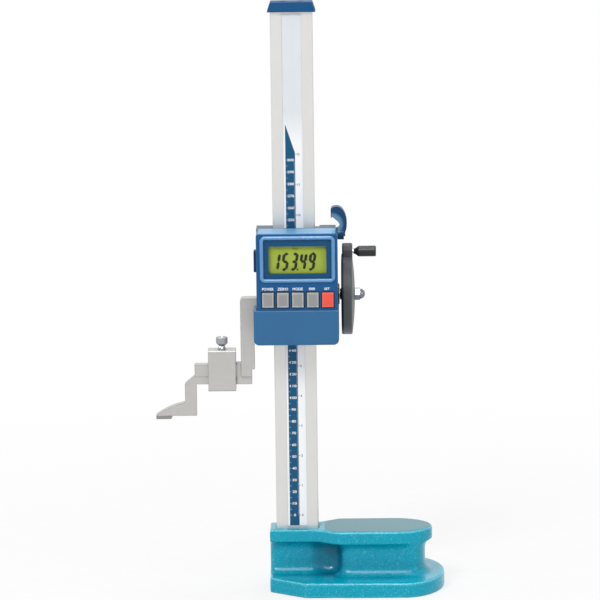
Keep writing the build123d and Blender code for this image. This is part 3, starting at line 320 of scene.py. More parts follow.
def mouldedFinish(name, s):
    # paint, plastic, rubber and cast skins
    material, tree, shader = newMaterial(name)
    skin = useGroup(tree, mottle, {"Colour": colour(*s["colour"]), "Drift": s.get("drift", 0.12),
                                   "Skin Scale": 1400.0, "Roughness": s["rough"], "Spread": 0.12})
    wearAndPaintedLight = useGroup(tree, edgeWearAndPaintedLight, {"Radius": s.get("edge", 0.5) * mm, "Amount": s.get("wearAndPaintedLight", 0.35)})
    base = mixColours(tree, wearAndPaintedLight.outputs["Mask"], skin.outputs["Colour"], colour(*s["wornAndPaintedLightEdge"]))
    tree.links.new(base, shader.inputs["Base Color"])
    tree.links.new(skin.outputs["Roughness"], shader.inputs["Roughness"])
    shader.inputs["Specular IOR Level"].default_value = s.get("shine", 0.2)
    shader.inputs["Coat Weight"].default_value = s.get("coat", 0.0)
    shader.inputs["Coat Roughness"].default_value = 0.12
    bumpTo(tree, shader, skin.outputs["Height"], s.get("bump", 0.12), 0.08 * mm)
    return material


def metalFinish(name, s):
    # drawn, ground or turned metal
    material, tree, shader = newMaterial(name)
    lines = useGroup(tree, brushed, {"Across": s.get("across", (900, 900, 25)),
                                     "Colour": colour(*s["colour"]),
                                     "Contrast": s.get("contrast", 0.14), "Roughness": s["rough"]})
    wearAndPaintedLight = useGroup(tree, edgeWearAndPaintedLight, {"Radius": s.get("edge", 0.4) * mm, "Amount": s.get("wearAndPaintedLight", 0.4)})
    base = mixColours(tree, wearAndPaintedLight.outputs["Mask"], lines.outputs["Colour"], colour(*s["wornAndPaintedLightEdge"]))
    tree.links.new(base, shader.inputs["Base Color"])
    tree.links.new(lines.outputs["Roughness"], shader.inputs["Roughness"])
    shader.inputs["Metallic"].default_value = s.get("metal", 1.0)
    bumpTo(tree, shader, lines.outputs["Height"], s.get("bump", 0.1), 0.03 * mm)
    return material


def give(material, *names):
    for name in names:
        for slot in nodes[name].material_slots:
            slot.material = material


# finishes of the carried-over pieces
steels = {
    # scriber arm steel: its darker edges are painted shade, a dark outline along every edge
    "armSteel": {"colour": (187, 185, 182), "wornAndPaintedLightEdge": (112, 110, 108), "rough": 0.46,
                 "across": (60, 900, 900),
                 "metal": 0.45, "contrast": 0.1, "wearAndPaintedLight": 1.0, "edge": 0.9},
    # hub nut chrome: a darker copy of the chrome with near-black edges, painted shade that outlines the
    # dome
    "nutChromeShaded": {"colour": (122, 126, 132), "wornAndPaintedLightEdge": (52, 54, 58), "rough": 0.18, "contrast": 0.05,
                  "bump": 0.03, "wearAndPaintedLight": 0.9, "edge": 0.8},
    "carbideGround": {"colour": (146, 146, 142), "wornAndPaintedLightEdge": (110, 110, 110), "rough": 0.34,
                      "across": (900, 60, 900)},
    "rackSteel": {"colour": (150, 150, 152), "wornAndPaintedLightEdge": (205, 205, 205), "rough": 0.36,
                  "across": (40, 900, 900)},
    "brightChrome": {"colour": (198, 201, 206), "wornAndPaintedLightEdge": (84, 86, 90), "rough": 0.16, "contrast": 0.05,
                     "bump": 0.03, "wearAndPaintedLight": 0.5},
    "screwSteel": {"colour": (74, 75, 78), "wornAndPaintedLightEdge": (140, 140, 142), "rough": 0.38, "contrast": 0.2},
    "bushBrass": {"colour": (176, 146, 92), "wornAndPaintedLightEdge": (214, 188, 134), "rough": 0.34,
                  "across": (40, 900, 900)},
    "cellSteel": {"colour": (206, 208, 210), "wornAndPaintedLightEdge": (232, 232, 232), "rough": 0.24},
    "sliderMetal": {"colour": (70, 86, 104), "wornAndPaintedLightEdge": (44, 54, 68), "rough": 0.45, "metal": 0.5,
                    "contrast": 0.16, "across": (500, 500, 500)},
}
for name, settings in steels.items():
    steels[name] = metalFinish(name, settings)
give(steels["armSteel"], "scriber_arm", "scriber_clamp", "scriber", "right_bush")
give(steels["carbideGround"], "carbide_tip")
give(steels["rackSteel"], "rack", "pinion")
give(steels["brightChrome"], "handle_spindle", "pinion_shaft")
give(steels["nutChromeShaded"], "hub_nut")
give(steels["screwSteel"], "arm_screws", "back_plate_screws", "case_screws", "column_screws",
     "gib_screws", "lock_screw", "shaft_clip", "gib_strip")
give(steels["bushBrass"], "brake_pad", "left_bush")
give(steels["cellSteel"], "battery")
give(steels["sliderMetal"], "slider_body", "slider_back_plate")

plastics = {
    # cap blue: its darker edges are painted shade along the edges
    "capBlue": {"colour": (6, 74, 122), "wornAndPaintedLightEdge": (2, 50, 88), "rough": 0.4,
                "shine": 0.06, "wearAndPaintedLight": 0.6, "edge": 0.9},
    "portNavy": {"colour": (10, 40, 82), "wornAndPaintedLightEdge": (30, 76, 124), "rough": 0.4},
    # lever blue: darker edges, painted shade along the edges
    "leverBlue": {"colour": (22, 66, 104), "wornAndPaintedLightEdge": (8, 44, 84), "rough": 0.34, "wearAndPaintedLight": 0.7, "edge": 0.9},
    "gripBlack": {"colour": (40, 42, 44), "wornAndPaintedLightEdge": (14, 14, 15), "rough": 0.3, "shine": 0.3, "wearAndPaintedLight": 0.5,
                  "edge": 0.8},
    # key colours: their lighter rims, from the edge tint over 2.2 mm, are painted highlights
    "keyGrey": {"colour": (146, 148, 147), "wornAndPaintedLightEdge": (224, 226, 222), "rough": 0.46,
                "edge": 2.2, "wearAndPaintedLight": 1.0},
    "keyRed": {"colour": (234, 88, 72), "wornAndPaintedLightEdge": (248, 142, 122), "rough": 0.44, "edge": 2.2, "wearAndPaintedLight": 0.8},
    # dark frames around the keys: painted shade of the gaps around them
    "gapShade": {"colour": (6, 40, 70), "wornAndPaintedLightEdge": (4, 30, 56), "rough": 0.5, "wearAndPaintedLight": 0.2},
    "innerBlack": {"colour": (28, 29, 31), "wornAndPaintedLightEdge": (70, 70, 72), "rough": 0.5},
    "boardGreen": {"colour": (34, 98, 62), "wornAndPaintedLightEdge": (120, 150, 90), "rough": 0.4, "coat": 0.2},
    # bezel rim: a lighter blue than the case, with lighter edges, a painted highlight
    "rimHighlightBlue": {"colour": (80, 140, 192), "wornAndPaintedLightEdge": (120, 176, 222), "rough": 0.26,
                "shine": 0.8, "wearAndPaintedLight": 0.2},
}
for name, settings in plastics.items():
    plastics[name] = mouldedFinish(name, settings)
give(plastics["capBlue"], "top_cap", "cap_screws")
give(plastics["portNavy"], "port_cover")
give(plastics["gripBlack"], "handle_grip")
give(plastics["keyGrey"], "power_key", "zero_key", "mode_key", "unit_key")
give(plastics["keyRed"], "set_key")
give(plastics["innerBlack"], "battery_holder", "data_port", "key_switches", "lcd_frame")
give(plastics["boardGreen"], "circuit_board", "reader_board")
print("plain finishes given")


# the head's blue shells, the top face painted lighter as a painted highlight and the edges darker as
# painted shade
def caseBlue():
    s = {"upper": (20, 84, 136), "lower": (50, 103, 148), "recess": (10, 74, 116), "top": (104, 164, 208),
         "edge": (6, 58, 104), "seam": 241.3, "topHighlightFrom": 304.9, "recessX": (-24.6, 31.0),
         "recessZ": (267.6, 300.0), "rough": 0.32, "wearAndPaintedLight": 0.55}
    material, tree, shader = newMaterial("caseBlue")
    link = tree.links.new
    place = put(tree, "ShaderNodeTexCoord")
    split = put(tree, "ShaderNodeSeparateXYZ")
    link(place.outputs["Object"], split.inputs[0])

    def above(axis, limit):
        return maths(tree, "GREATER_THAN", split.outputs[axis], limit * mm)

    def below(axis, limit):
        return maths(tree, "LESS_THAN", split.outputs[axis], limit * mm)

    inX = maths(tree, "MULTIPLY", above("X", s["recessX"][0]), below("X", s["recessX"][1]))
    inZ = maths(tree, "MULTIPLY", above("Z", s["recessZ"][0]), below("Z", s["recessZ"][1]))
    both = mixColours(tree, above("Z", s["seam"]), colour(*s["lower"]), colour(*s["upper"]))
    both = mixColours(tree, maths(tree, "MULTIPLY", inX, inZ), both, colour(*s["recess"]))
    skin = useGroup(tree, mottle, {"Drift": 0.1, "Skin Scale": 1500.0,
                                   "Roughness": s["rough"], "Spread": 0.1})
    link(both, skin.inputs["Colour"])
    # darker edges: painted shade along the edges
    wearAndPaintedLight = useGroup(tree, edgeWearAndPaintedLight, {"Radius": 0.8 * mm, "Amount": s["wearAndPaintedLight"]})
    edgeShaded = mixColours(tree, wearAndPaintedLight.outputs["Mask"], skin.outputs["Colour"], colour(*s["edge"]))
    # the top face painted lighter: a painted highlight
    link(mixColours(tree, above("Z", s["topHighlightFrom"]), edgeShaded, colour(*s["top"])), shader.inputs["Base Color"])
    link(skin.outputs["Roughness"], shader.inputs["Roughness"])
    shader.inputs["Specular IOR Level"].default_value = 0.22
    bumpTo(tree, shader, skin.outputs["Height"], 0.08, 0.06 * mm)
    return material


give(caseBlue(), "display_cover", "display_back", "battery_cover")


# the base: hammered enamel and a ground land, with painted highlights on edges, coves and corners, painted
# glints, and painted shade in the hollows
def baseEnamel():
    s = {"paint": (0, 166, 192), "deep": (0, 142, 168), "paintedHighlight": (126, 222, 236), "iron": (98, 140, 150),
         "hollowShade": (0, 88, 120), "landZ": 50.45, "footZ": 0.4, "hammer": 520.0, "rough": 0.2,
         "hollowReach": 0.03, "glintStrength": 0.3}
    material, tree, shader = newMaterial("baseEnamel")
    link = tree.links.new
    place = put(tree, "ShaderNodeTexCoord")
    split = put(tree, "ShaderNodeSeparateXYZ")
    link(place.outputs["Object"], split.inputs[0])
    top = maths(tree, "GREATER_THAN", split.outputs["Z"], s["landZ"] * mm)
    sole = maths(tree, "LESS_THAN", split.outputs["Z"], s["footZ"] * mm)
    ground = maths(tree, "MAXIMUM", top, sole)
    hammer = put(tree, "ShaderNodeTexVoronoi", {"Scale": s["hammer"], "Randomness": 1.0},
                 feature="SMOOTH_F1")
    link(place.outputs["Object"], hammer.inputs["Vector"])
    flake = put(tree, "ShaderNodeTexNoise", {"Scale": 620.0, "Detail": 3.0, "Roughness": 0.6})
    link(place.outputs["Object"], flake.inputs["Vector"])
    skin = useGroup(tree, mottle, {"Colour": colour(*s["paint"]), "Drift": 0.16, "Skin Scale": 300.0,
                                   "Roughness": s["rough"], "Spread": 0.12})
    pits = mapRange(tree, flake.outputs["Fac"], 0.3, 0.6, 0.3, 1.0)
    paint = mixColours(tree, pits, colour(*s["deep"]), skin.outputs["Colour"])
    form = put(tree, "ShaderNodeNewGeometry")
    facing = put(tree, "ShaderNodeSeparateXYZ")
    link(form.outputs["Normal"], facing.inputs[0])
    # painted highlight: lighter enamel on convex edges and on coves that face upwards, and on the lower
    # half of upright convex corners
    tilted = maths(tree, "MULTIPLY", mapRange(tree, facing.outputs["Z"], 0.12, 0.45),
                   mapRange(tree, facing.outputs["Z"], 0.97, 0.8))
    outer = mapRange(tree, form.outputs["Pointiness"], 0.506, 0.54)
    inner = mapRange(tree, form.outputs["Pointiness"], 0.486, 0.46, 0.0, 0.35)
    broken = mapRange(tree, flake.outputs["Fac"], 0.36, 0.6, 0.25, 1.0)
    paintedHighlight = maths(tree, "MULTIPLY", maths(tree, "MAXIMUM", outer, inner), tilted)
    level = maths(tree, "ABSOLUTE", facing.outputs["Z"])
    upright = maths(tree, "MULTIPLY", mapRange(tree, level, 0.35, 0.1),
                    mapRange(tree, split.outputs["Z"], 0.033, 0.024))
    upright = maths(tree, "MULTIPLY", maths(tree, "MULTIPLY", outer, upright), 0.8)
    paintedHighlight = maths(tree, "MULTIPLY", maths(tree, "MAXIMUM", paintedHighlight, upright), broken)
    # painted glints: small light spots over the enamel
    fleck = put(tree, "ShaderNodeTexNoise", {"Scale": 760.0, "Detail": 1.0})
    link(place.outputs["Object"], fleck.inputs["Vector"])
    paintedGlints = mapRange(tree, fleck.outputs["Fac"], 0.6, 0.74, 0.0, s["glintStrength"])
    paint = mixColours(tree, maths(tree, "MAXIMUM", paintedHighlight, paintedGlints), paint, colour(*s["paintedHighlight"]))
    # painted shade: darker enamel in hollows and under the deck, from ambient occlusion
    cavity = put(tree, "ShaderNodeAmbientOcclusion", {"Distance": s["hollowReach"]}, samples=8,
                 only_local=True)
    openness = mapRange(tree, cavity.outputs["AO"], 0.38, 0.8)
    paint = mixColours(tree, openness, colour(*s["hollowShade"]), paint)
    iron = useGroup(tree, brushed, {"Across": (30, 900, 900), "Colour": colour(*s["iron"]),
                                    "Contrast": 0.16, "Roughness": 0.42})
    link(mixColours(tree, ground, paint, iron.outputs["Colour"]), shader.inputs["Base Color"])
    roughMix = put(tree, "ShaderNodeMix")
    link(ground, roughMix.inputs[0])
    link(skin.outputs["Roughness"], roughMix.inputs[2])
    link(iron.outputs["Roughness"], roughMix.inputs[3])
    link(roughMix.outputs[0], shader.inputs["Roughness"])
    link(maths(tree, "MULTIPLY", ground, 0.5), shader.inputs["Metallic"])
    paintOnly = maths(tree, "SUBTRACT", 1.0, ground)
    shader.inputs["Specular IOR Level"].default_value = 0.26
    lumps = maths(tree, "ADD", hammer.outputs["Distance"],
                  maths(tree, "MULTIPLY", flake.outputs["Fac"], 0.6))
    height = maths(tree, "ADD", maths(tree, "MULTIPLY", lumps, paintOnly),
                   maths(tree, "MULTIPLY", maths(tree, "MULTIPLY", iron.outputs["Height"], ground), 0.1))
    bumpTo(tree, shader, height, 0.3, 0.3 * mm)
    return material


enamel = baseEnamel()
give(enamel, "base")


def castBase():
    # the casting with its edges and coves run soft, as under thick enamel
    s = {"voxel": 0.9, "coveRounds": 150, "skinRounds": 3, "foot": 12.9, "deck": 39.4, "lead": 0.6,
         "blend": 2.0}
    clearSelection()
    casting = nodes["base"].copy()
    casting.data = nodes["base"].data.copy()
    bpy.context.collection.objects.link(casting)
    casting.parent = None
    casting.matrix_world = Matrix.Identity(4)
    editAll(casting)
    bpy.ops.mesh.customdata_custom_splitnormals_clear()
    bpy.ops.mesh.remove_doubles(threshold=0.00001)
    objectMode()
    shell = casting.modifiers.new("shell", "REMESH")
    shell.mode = "VOXEL"
    shell.voxel_size = s["voxel"] * mm
    bpy.ops.object.modifier_apply(modifier="shell")
    waist = casting.vertex_groups.new(name="waist")
    for vertex in casting.data.vertices:
        low = min(max((vertex.co.z / mm - s["foot"] + s["lead"]) / s["blend"], 0), 1)
        high = min(max((s["deck"] + s["lead"] - vertex.co.z / mm) / s["blend"], 0), 1)
        waist.add([vertex.index], min(low, high), "REPLACE")
    cove = casting.modifiers.new("cove", "SMOOTH")
    cove.factor = 0.5
    cove.iterations = s["coveRounds"]
    cove.vertex_group = "waist"
    bpy.ops.object.modifier_apply(modifier="cove")
    skin = casting.modifiers.new("skin", "SMOOTH")
    skin.factor = 0.5
    skin.iterations = s["skinRounds"]
    bpy.ops.object.modifier_apply(modifier="skin")
    bpy.ops.object.shade_smooth()
    settle(casting, "base_casting", "stand", enamel)
    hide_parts("base")


castBase()
print("base cast")


# the column and its printed strip
# column steel: the darker edges are painted shade along the edges
columnLook = {"colour": (217, 216, 214), "wornAndPaintedLightEdge": (176, 178, 182), "rough": 0.34, "across": (1400, 1400, 14),
              "contrast": 0.07, "metal": 0.7, "wearAndPaintedLight": 0.5, "edge": 0.5, "bump": 0.05}
give(metalFinish("columnSteel", columnLook), "column")


def stripFilm():
    s = {"film": (243, 245, 246), "bare": (218, 223, 227), "bareFrom": 391.0}
    material, tree, shader = newMaterial("stripFilm")
    place = put(tree, "ShaderNodeTexCoord")
    split = put(tree, "ShaderNodeSeparateXYZ")
    tree.links.new(place.outputs["Object"], split.inputs[0])
    bare = mapRange(tree, split.outputs["Z"], (s["bareFrom"] - 16) * mm, (s["bareFrom"] + 10) * mm)
    skin = useGroup(tree, mottle, {"Drift": 0.04, "Skin Scale": 1600.0, "Roughness": 0.3, "Spread": 0.1})
    tree.links.new(mixColours(tree, bare, colour(*s["film"]), colour(*s["bare"])), skin.inputs["Colour"])
    tree.links.new(skin.outputs["Colour"], shader.inputs["Base Color"])
    tree.links.new(skin.outputs["Roughness"], shader.inputs["Roughness"])
    bumpTo(tree, shader, skin.outputs["Height"], 0.05, 0.03 * mm)
    return material


give(stripFilm(), "scale_strip")


# the handwheel: grey rim, its inner side painted black as painted shade, and its edges darker as painted
# shade
def wheelPlastic():
    s = {"rim": (84, 88, 90), "inner": (10, 10, 12), "wornAndPaintedLightEdge": (48, 49, 51), "split": 40.6, "rough": 0.42}
    material, tree, shader = newMaterial("wheelPlastic")
    place = put(tree, "ShaderNodeTexCoord")
    split = put(tree, "ShaderNodeSeparateXYZ")
    tree.links.new(place.outputs["Object"], split.inputs[0])
    outer = mapRange(tree, split.outputs["X"], (s["split"] - 0.3) * mm, (s["split"] + 0.3) * mm)
    skin = useGroup(tree, mottle, {"Drift": 0.14, "Skin Scale": 1100.0,
                                   "Roughness": s["rough"], "Spread": 0.14})
    tree.links.new(mixColours(tree, outer, colour(*s["inner"]), colour(*s["rim"])), skin.inputs["Colour"])
    wearAndPaintedLight = useGroup(tree, edgeWearAndPaintedLight, {"Radius": 0.8 * mm, "Amount": 0.3})
    tree.links.new(mixColours(tree, wearAndPaintedLight.outputs["Mask"], skin.outputs["Colour"], colour(*s["wornAndPaintedLightEdge"])),
                   shader.inputs["Base Color"])
    tree.links.new(skin.outputs["Roughness"], shader.inputs["Roughness"])
    shader.inputs["Specular IOR Level"].default_value = 0.25
    bumpTo(tree, shader, skin.outputs["Height"], 0.2, 0.08 * mm)
    return material


give(wheelPlastic(), "handwheel")


# the display
def displayGreen():
    s = {"colour": (152, 170, 36), "rough": 0.5}
    material, tree, shader = newMaterial("displayGreen")
    skin = useGroup(tree, mottle, {"Colour": colour(*s["colour"]), "Drift": 0.1, "Skin Scale": 2200.0,
                                   "Roughness": s["rough"], "Spread": 0.05})
    tree.links.new(skin.outputs["Colour"], shader.inputs["Base Color"])
    tree.links.new(skin.outputs["Roughness"], shader.inputs["Roughness"])
    bumpTo(tree, shader, skin.outputs["Height"], 0.05, 0.02 * mm)
    return material


def clearWindow():
    material, tree, shader = newMaterial("clearWindow")
    shader.inputs["Base Color"].default_value = (0.97, 0.99, 1.0, 1)
    shader.inputs["Transmission Weight"].default_value = 1.0
    shader.inputs["IOR"].default_value = 1.14
    scuffs = useGroup(tree, mottle, {"Drift": 0.0, "Skin Scale": 900.0, "Roughness": 0.03, "Spread": 0.05})
    tree.links.new(scuffs.outputs["Roughness"], shader.inputs["Roughness"])
    through = put(tree, "ShaderNodeBsdfTransparent")
    path = put(tree, "ShaderNodeLightPath")
    mixed = put(tree, "ShaderNodeMixShader")
    soft = maths(tree, "MAXIMUM", path.outputs["Is Shadow Ray"], path.outputs["Is Diffuse Ray"])
    tree.links.new(soft, mixed.inputs[0])
    tree.links.new(shader.outputs[0], mixed.inputs[1])
    tree.links.new(through.outputs[0], mixed.inputs[2])
    tree.links.new(mixed.outputs[0], tree.nodes["Material Output"].inputs["Surface"])
    return material


give(displayGreen(), "lcd_panel")
give(clearWindow(), "lcd_window")
print("special finishes given")

inks = {
    "inkBlue": {"colour": (20, 84, 122), "wornAndPaintedLightEdge": (60, 120, 165), "rough": 0.3, "wearAndPaintedLight": 0.0, "drift": 0.1},
    "inkWhite": {"colour": (240, 244, 246), "wornAndPaintedLightEdge": (250, 250, 250), "rough": 0.4,
                 "wearAndPaintedLight": 0.0, "drift": 0.03},
    "inkGrey": {"colour": (96, 104, 118), "wornAndPaintedLightEdge": (120, 120, 130), "rough": 0.4,
                "wearAndPaintedLight": 0.0, "drift": 0.05},
    "inkDisplay": {"colour": (26, 32, 14), "wornAndPaintedLightEdge": (30, 36, 16), "rough": 0.5, "wearAndPaintedLight": 0.0, "drift": 0.05},
    "inkFaint": {"colour": (92, 104, 30), "wornAndPaintedLightEdge": (96, 108, 34), "rough": 0.5, "wearAndPaintedLight": 0.0, "drift": 0.05},
}
for name, settings in inks.items():
    inks[name] = mouldedFinish(name, settings)


# the printed scale
def printedScale():
    s = {"left": -6.2, "right": 1.8, "foot": 52.4, "tipZ": 391.0, "shoulderZ": 367.0, "face": -6.6,
         "zero": 61.15, "numberX": -2.0, "numberHeight": 2.2, "numberWidth": 1.75, "inchX": 4.5,
         "inchHeight": 2.0, "inchMark": (1.95, 3.1, 0.2), "film": 0.04,
         "tick": (0.75, 1.55, 0.09, 1.0, 301), "longTick": (-5.9, -4.7, 0.14, 5.0, 61)}
    # ticks: left, right, half height, step, count
    band = flatBar(s["left"], s["right"], s["face"], s["foot"], s["tipZ"], s["film"])
    slope = Vector((s["tipZ"] - s["shoulderZ"], 0, s["right"] - s["left"])).normalized()
    editAll(band)
    bpy.ops.mesh.bisect(plane_co=(s["right"] * mm, 0, s["shoulderZ"] * mm), plane_no=slope,
                        use_fill=True, clear_outer=True)
    objectMode()
    settle(band, "scale_band", "stand", inks["inkBlue"])

    numbers = []
    for step in range(31):
        text = str(step * 10)
        numbers.append(printedWord(text, s["numberX"], s["face"] - s["film"], s["zero"] + step * 10,
                                   s["numberHeight"], width=s["numberWidth"] * len(text)))
    settle(joinAll(numbers), "scale_numbers", "stand", inks["inkWhite"])

    ticks = []
    for left, right, half, gap, count in (s["tick"], s["longTick"]):
        mark = flatBar(left, right, s["face"] - s["film"], s["zero"] - half, s["zero"] + half)
        rowUp(mark, count, gap)
        ticks.append(mark)
    settle(joinAll(ticks), "scale_ticks", "stand", inks["inkWhite"])

    left, right, half = s["inchMark"]
    inches = []
    for step in range(13):
        z = s["zero"] + step * 25.4
        inches.append(flatBar(left, right, s["face"], z - half, z + half))
        inches.append(printedWord(str(step), s["inchX"], s["face"], z, s["inchHeight"]))
    settle(joinAll(inches), "scale_inches", "stand", inks["inkGrey"])


printedScale()
print("scale printed")


# the display's digits
def displaySegments():
    s = {"face": -33.5, "depth": 0.05, "height": 15.2, "width": 5.9, "stroke": 2.35, "gap": 0.2,
         "middleZ": 281.0, "slant": 0.16, "cells": (-14.1, -6.8, 0.5, 7.8, 15.1), "shown": "15349",
         "dotAfter": 2, "dotHalf": 0.7, "bevel": 0.44}
    lit = {"1": "bc", "5": "afgcd", "3": "abgcd", "4": "fgbc", "9": "abcdfg"}
    tall = s["height"] / 2 - s["stroke"] / 2
    wide = s["width"] - s["stroke"]
    places = {"a": (0, tall, 0), "g": (0, 0, 0), "d": (0, -tall, 0), "f": (-wide / 2, tall / 2, 1),
              "b": (wide / 2, tall / 2, 1), "e": (-wide / 2, -tall / 2, 1), "c": (wide / 2, -tall / 2, 1)}

    def segment(length):
        bar = flatBar(-length / 2, length / 2, 0, -s["stroke"] / 2, s["stroke"] / 2, s["depth"])
        editAll(bar)
        bpy.ops.mesh.select_all(action="DESELECT")
        bpy.ops.mesh.select_mode(type="EDGE")
        objectMode()
        for edge in bar.data.edges:
            a, b = (bar.data.vertices[i].co for i in edge.vertices)
            edge.select = abs(a.y - b.y) > 0.01 * mm
        bpy.ops.object.mode_set(mode="EDIT")
        bpy.ops.mesh.bevel(offset=s["stroke"] * s["bevel"] * mm, segments=1, affect="EDGES")
        objectMode()
        return bar

    flat = segment(wide - s["gap"])
    upright = segment(tall - s["gap"])
    made = []
    for cell, digit in zip(s["cells"], s["shown"]):
        for letter in lit[digit]:
            x, z, standing = places[letter]
            source = upright if standing else flat
            piece = source.copy()
            piece.data = source.data.copy()
            bpy.context.collection.objects.link(piece)
            lean = Matrix.Identity(4)
            lean[0][2] = s["slant"]
            turn = Matrix.Rotation(math.radians(90), 4, "Y") if standing else Matrix.Identity(4)
            step = Matrix.Translation((x * mm, 0, z * mm))
            home = Matrix.Translation((cell * mm, s["face"] * mm, s["middleZ"] * mm))
            piece.data.transform(home @ lean @ step @ turn)
            made.append(piece)
    dotX = (s["cells"][s["dotAfter"]] + s["cells"][s["dotAfter"] + 1]) / 2 - s["slant"] * tall
    dotZ = s["middleZ"] - tall - 0.1
    half = s["dotHalf"]
    dot = flatBar(dotX - half, dotX + half, s["face"], dotZ - half, dotZ + half, s["depth"])
    bpy.data.objects.remove(flat)
    bpy.data.objects.remove(upright)
    settle(joinAll(made + [dot]), "display_digits", "slider", inks["inkDisplay"])

    sign = printedWord("mm", 1.2, s["face"], 291.6, 1.5)
    settle(sign, "display_sign", "slider", inks["inkFaint"])


displaySegments()


# the thumb screw: chrome, its head knurled, with the knurl grooves painted darker as painted shade
def knurledChrome():
    low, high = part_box("clamp_screw")
    s = {"teeth": 34, "headFrom": high.z - 8.5 * mm, "colour": (176, 179, 184), "groove": (104, 106, 110)}
    material, tree, shader = newMaterial("knurledChrome")
    link = tree.links.new
    place = put(tree, "ShaderNodeTexCoord")
    centre = put(tree, "ShaderNodeMapping")
    centre.inputs["Location"].default_value = (-(low.x + high.x) / 2, -(low.y + high.y) / 2, 0)
    link(place.outputs["Object"], centre.inputs["Vector"])
    split = put(tree, "ShaderNodeSeparateXYZ")
    link(centre.outputs["Vector"], split.inputs[0])
    angle = maths(tree, "ARCTAN2", split.outputs["Y"], split.outputs["X"])
    ridge = maths(tree, "SINE", maths(tree, "MULTIPLY", angle, float(s["teeth"])))
    ridge = mapRange(tree, ridge, -0.6, 0.6)
    head = maths(tree, "GREATER_THAN", split.outputs["Z"], s["headFrom"])
    knurl = maths(tree, "MULTIPLY", maths(tree, "SUBTRACT", 1.0, ridge), head)
    lines = useGroup(tree, brushed, {"Across": (700, 700, 700), "Colour": colour(*s["colour"]),
                                     "Contrast": 0.08, "Roughness": 0.2})
    shade = maths(tree, "MULTIPLY", knurl, 0.5)
    link(mixColours(tree, shade, lines.outputs["Colour"], colour(*s["groove"])),
         shader.inputs["Base Color"])
    link(lines.outputs["Roughness"], shader.inputs["Roughness"])
    shader.inputs["Metallic"].default_value = 1.0
    bumpTo(tree, shader, maths(tree, "SUBTRACT", 1.0, knurl), 0.5, 0.2 * mm)
    return material


give(knurledChrome(), "clamp_screw")


def leverPaint():
    # the paint lighter along the inner bend of the hook, a painted highlight, and darker on the edges,
    # painted shade
    s = {"colour": (22, 66, 104), "polished": (96, 142, 178), "edge": (8, 44, 84),
         "bendX": 31.0, "bendZ": 306.6, "from": 8.0, "to": 10.6, "rough": 0.34}
    material, tree, shader = newMaterial("leverPaint")
    link = tree.links.new
    place = put(tree, "ShaderNodeTexCoord")
    flat = put(tree, "ShaderNodeVectorMath", {1: (1, 0, 1)}, operation="MULTIPLY")
    link(place.outputs["Object"], flat.inputs[0])
    reach = put(tree, "ShaderNodeVectorMath", {1: (s["bendX"] * mm, 0, s["bendZ"] * mm)},
                operation="DISTANCE")
    link(flat.outputs["Vector"], reach.inputs[0])
    # painted highlight along the inner bend of the hook
    bendHighlightMask = mapRange(tree, reach.outputs["Value"], s["to"] * mm, s["from"] * mm)
    skin = useGroup(tree, mottle, {"Drift": 0.16, "Skin Scale": 1200.0,
                                   "Roughness": s["rough"], "Spread": 0.14})
    link(mixColours(tree, bendHighlightMask, colour(*s["colour"]), colour(*s["polished"])), skin.inputs["Colour"])
    wearAndPaintedLight = useGroup(tree, edgeWearAndPaintedLight, {"Radius": 0.8 * mm, "Amount": 0.6})
    link(mixColours(tree, wearAndPaintedLight.outputs["Mask"], skin.outputs["Colour"], colour(*s["edge"])),
         shader.inputs["Base Color"])
    link(skin.outputs["Roughness"], shader.inputs["Roughness"])
    shader.inputs["Specular IOR Level"].default_value = 0.2
    bumpTo(tree, shader, skin.outputs["Height"], 0.12, 0.08 * mm)
    return material


give(leverPaint(), "lock_lever")


def leverRidges():
    # grip ridges on the thumb side of the lever's tip
    s = {"count": 5, "step": 1.45, "start": 312.6, "proud": 0.55, "tall": 0.75, "half": 4.2, "sunk": 0.05,
         "round": 0.25}
    low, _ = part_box("lock_lever")
    clearSelection()
    bpy.ops.mesh.primitive_cube_add(size=1, location=(low.x + s["sunk"] * mm, 0, s["start"] * mm))
    ridge = bpy.context.object
    ridge.scale = (2 * s["proud"] * mm, 2 * s["half"] * mm, s["tall"] * mm)
    bakePlace(ridge)
    editAll(ridge)
    bpy.ops.mesh.bevel(offset=s["round"] * mm, segments=3, affect="EDGES")
    objectMode()
    rowUp(ridge, s["count"], s["step"])
    settle(ridge, "lever_ridges", "lock_lever", plastics["leverBlue"])


leverRidges()


# words over the keys
def keyWords():
    s = {"face": -38.0, "z": 259.0, "depth": 0.05}
    words = [("POWER", -21.3, 9.4, 2.3), ("ZERO", -9.1, 8.8, 2.3), ("MODE", 3.2, 8.4, 2.3),
             ("mm", 14.9, 4.8, 2.0), ("SET", 27.2, 4.4, 1.9)]
    made = [printedWord(text, x, s["face"], s["z"], height, width, s["depth"])
            for text, x, width, height in words]
    settle(joinAll(made), "key_words", "slider", inks["inkWhite"])


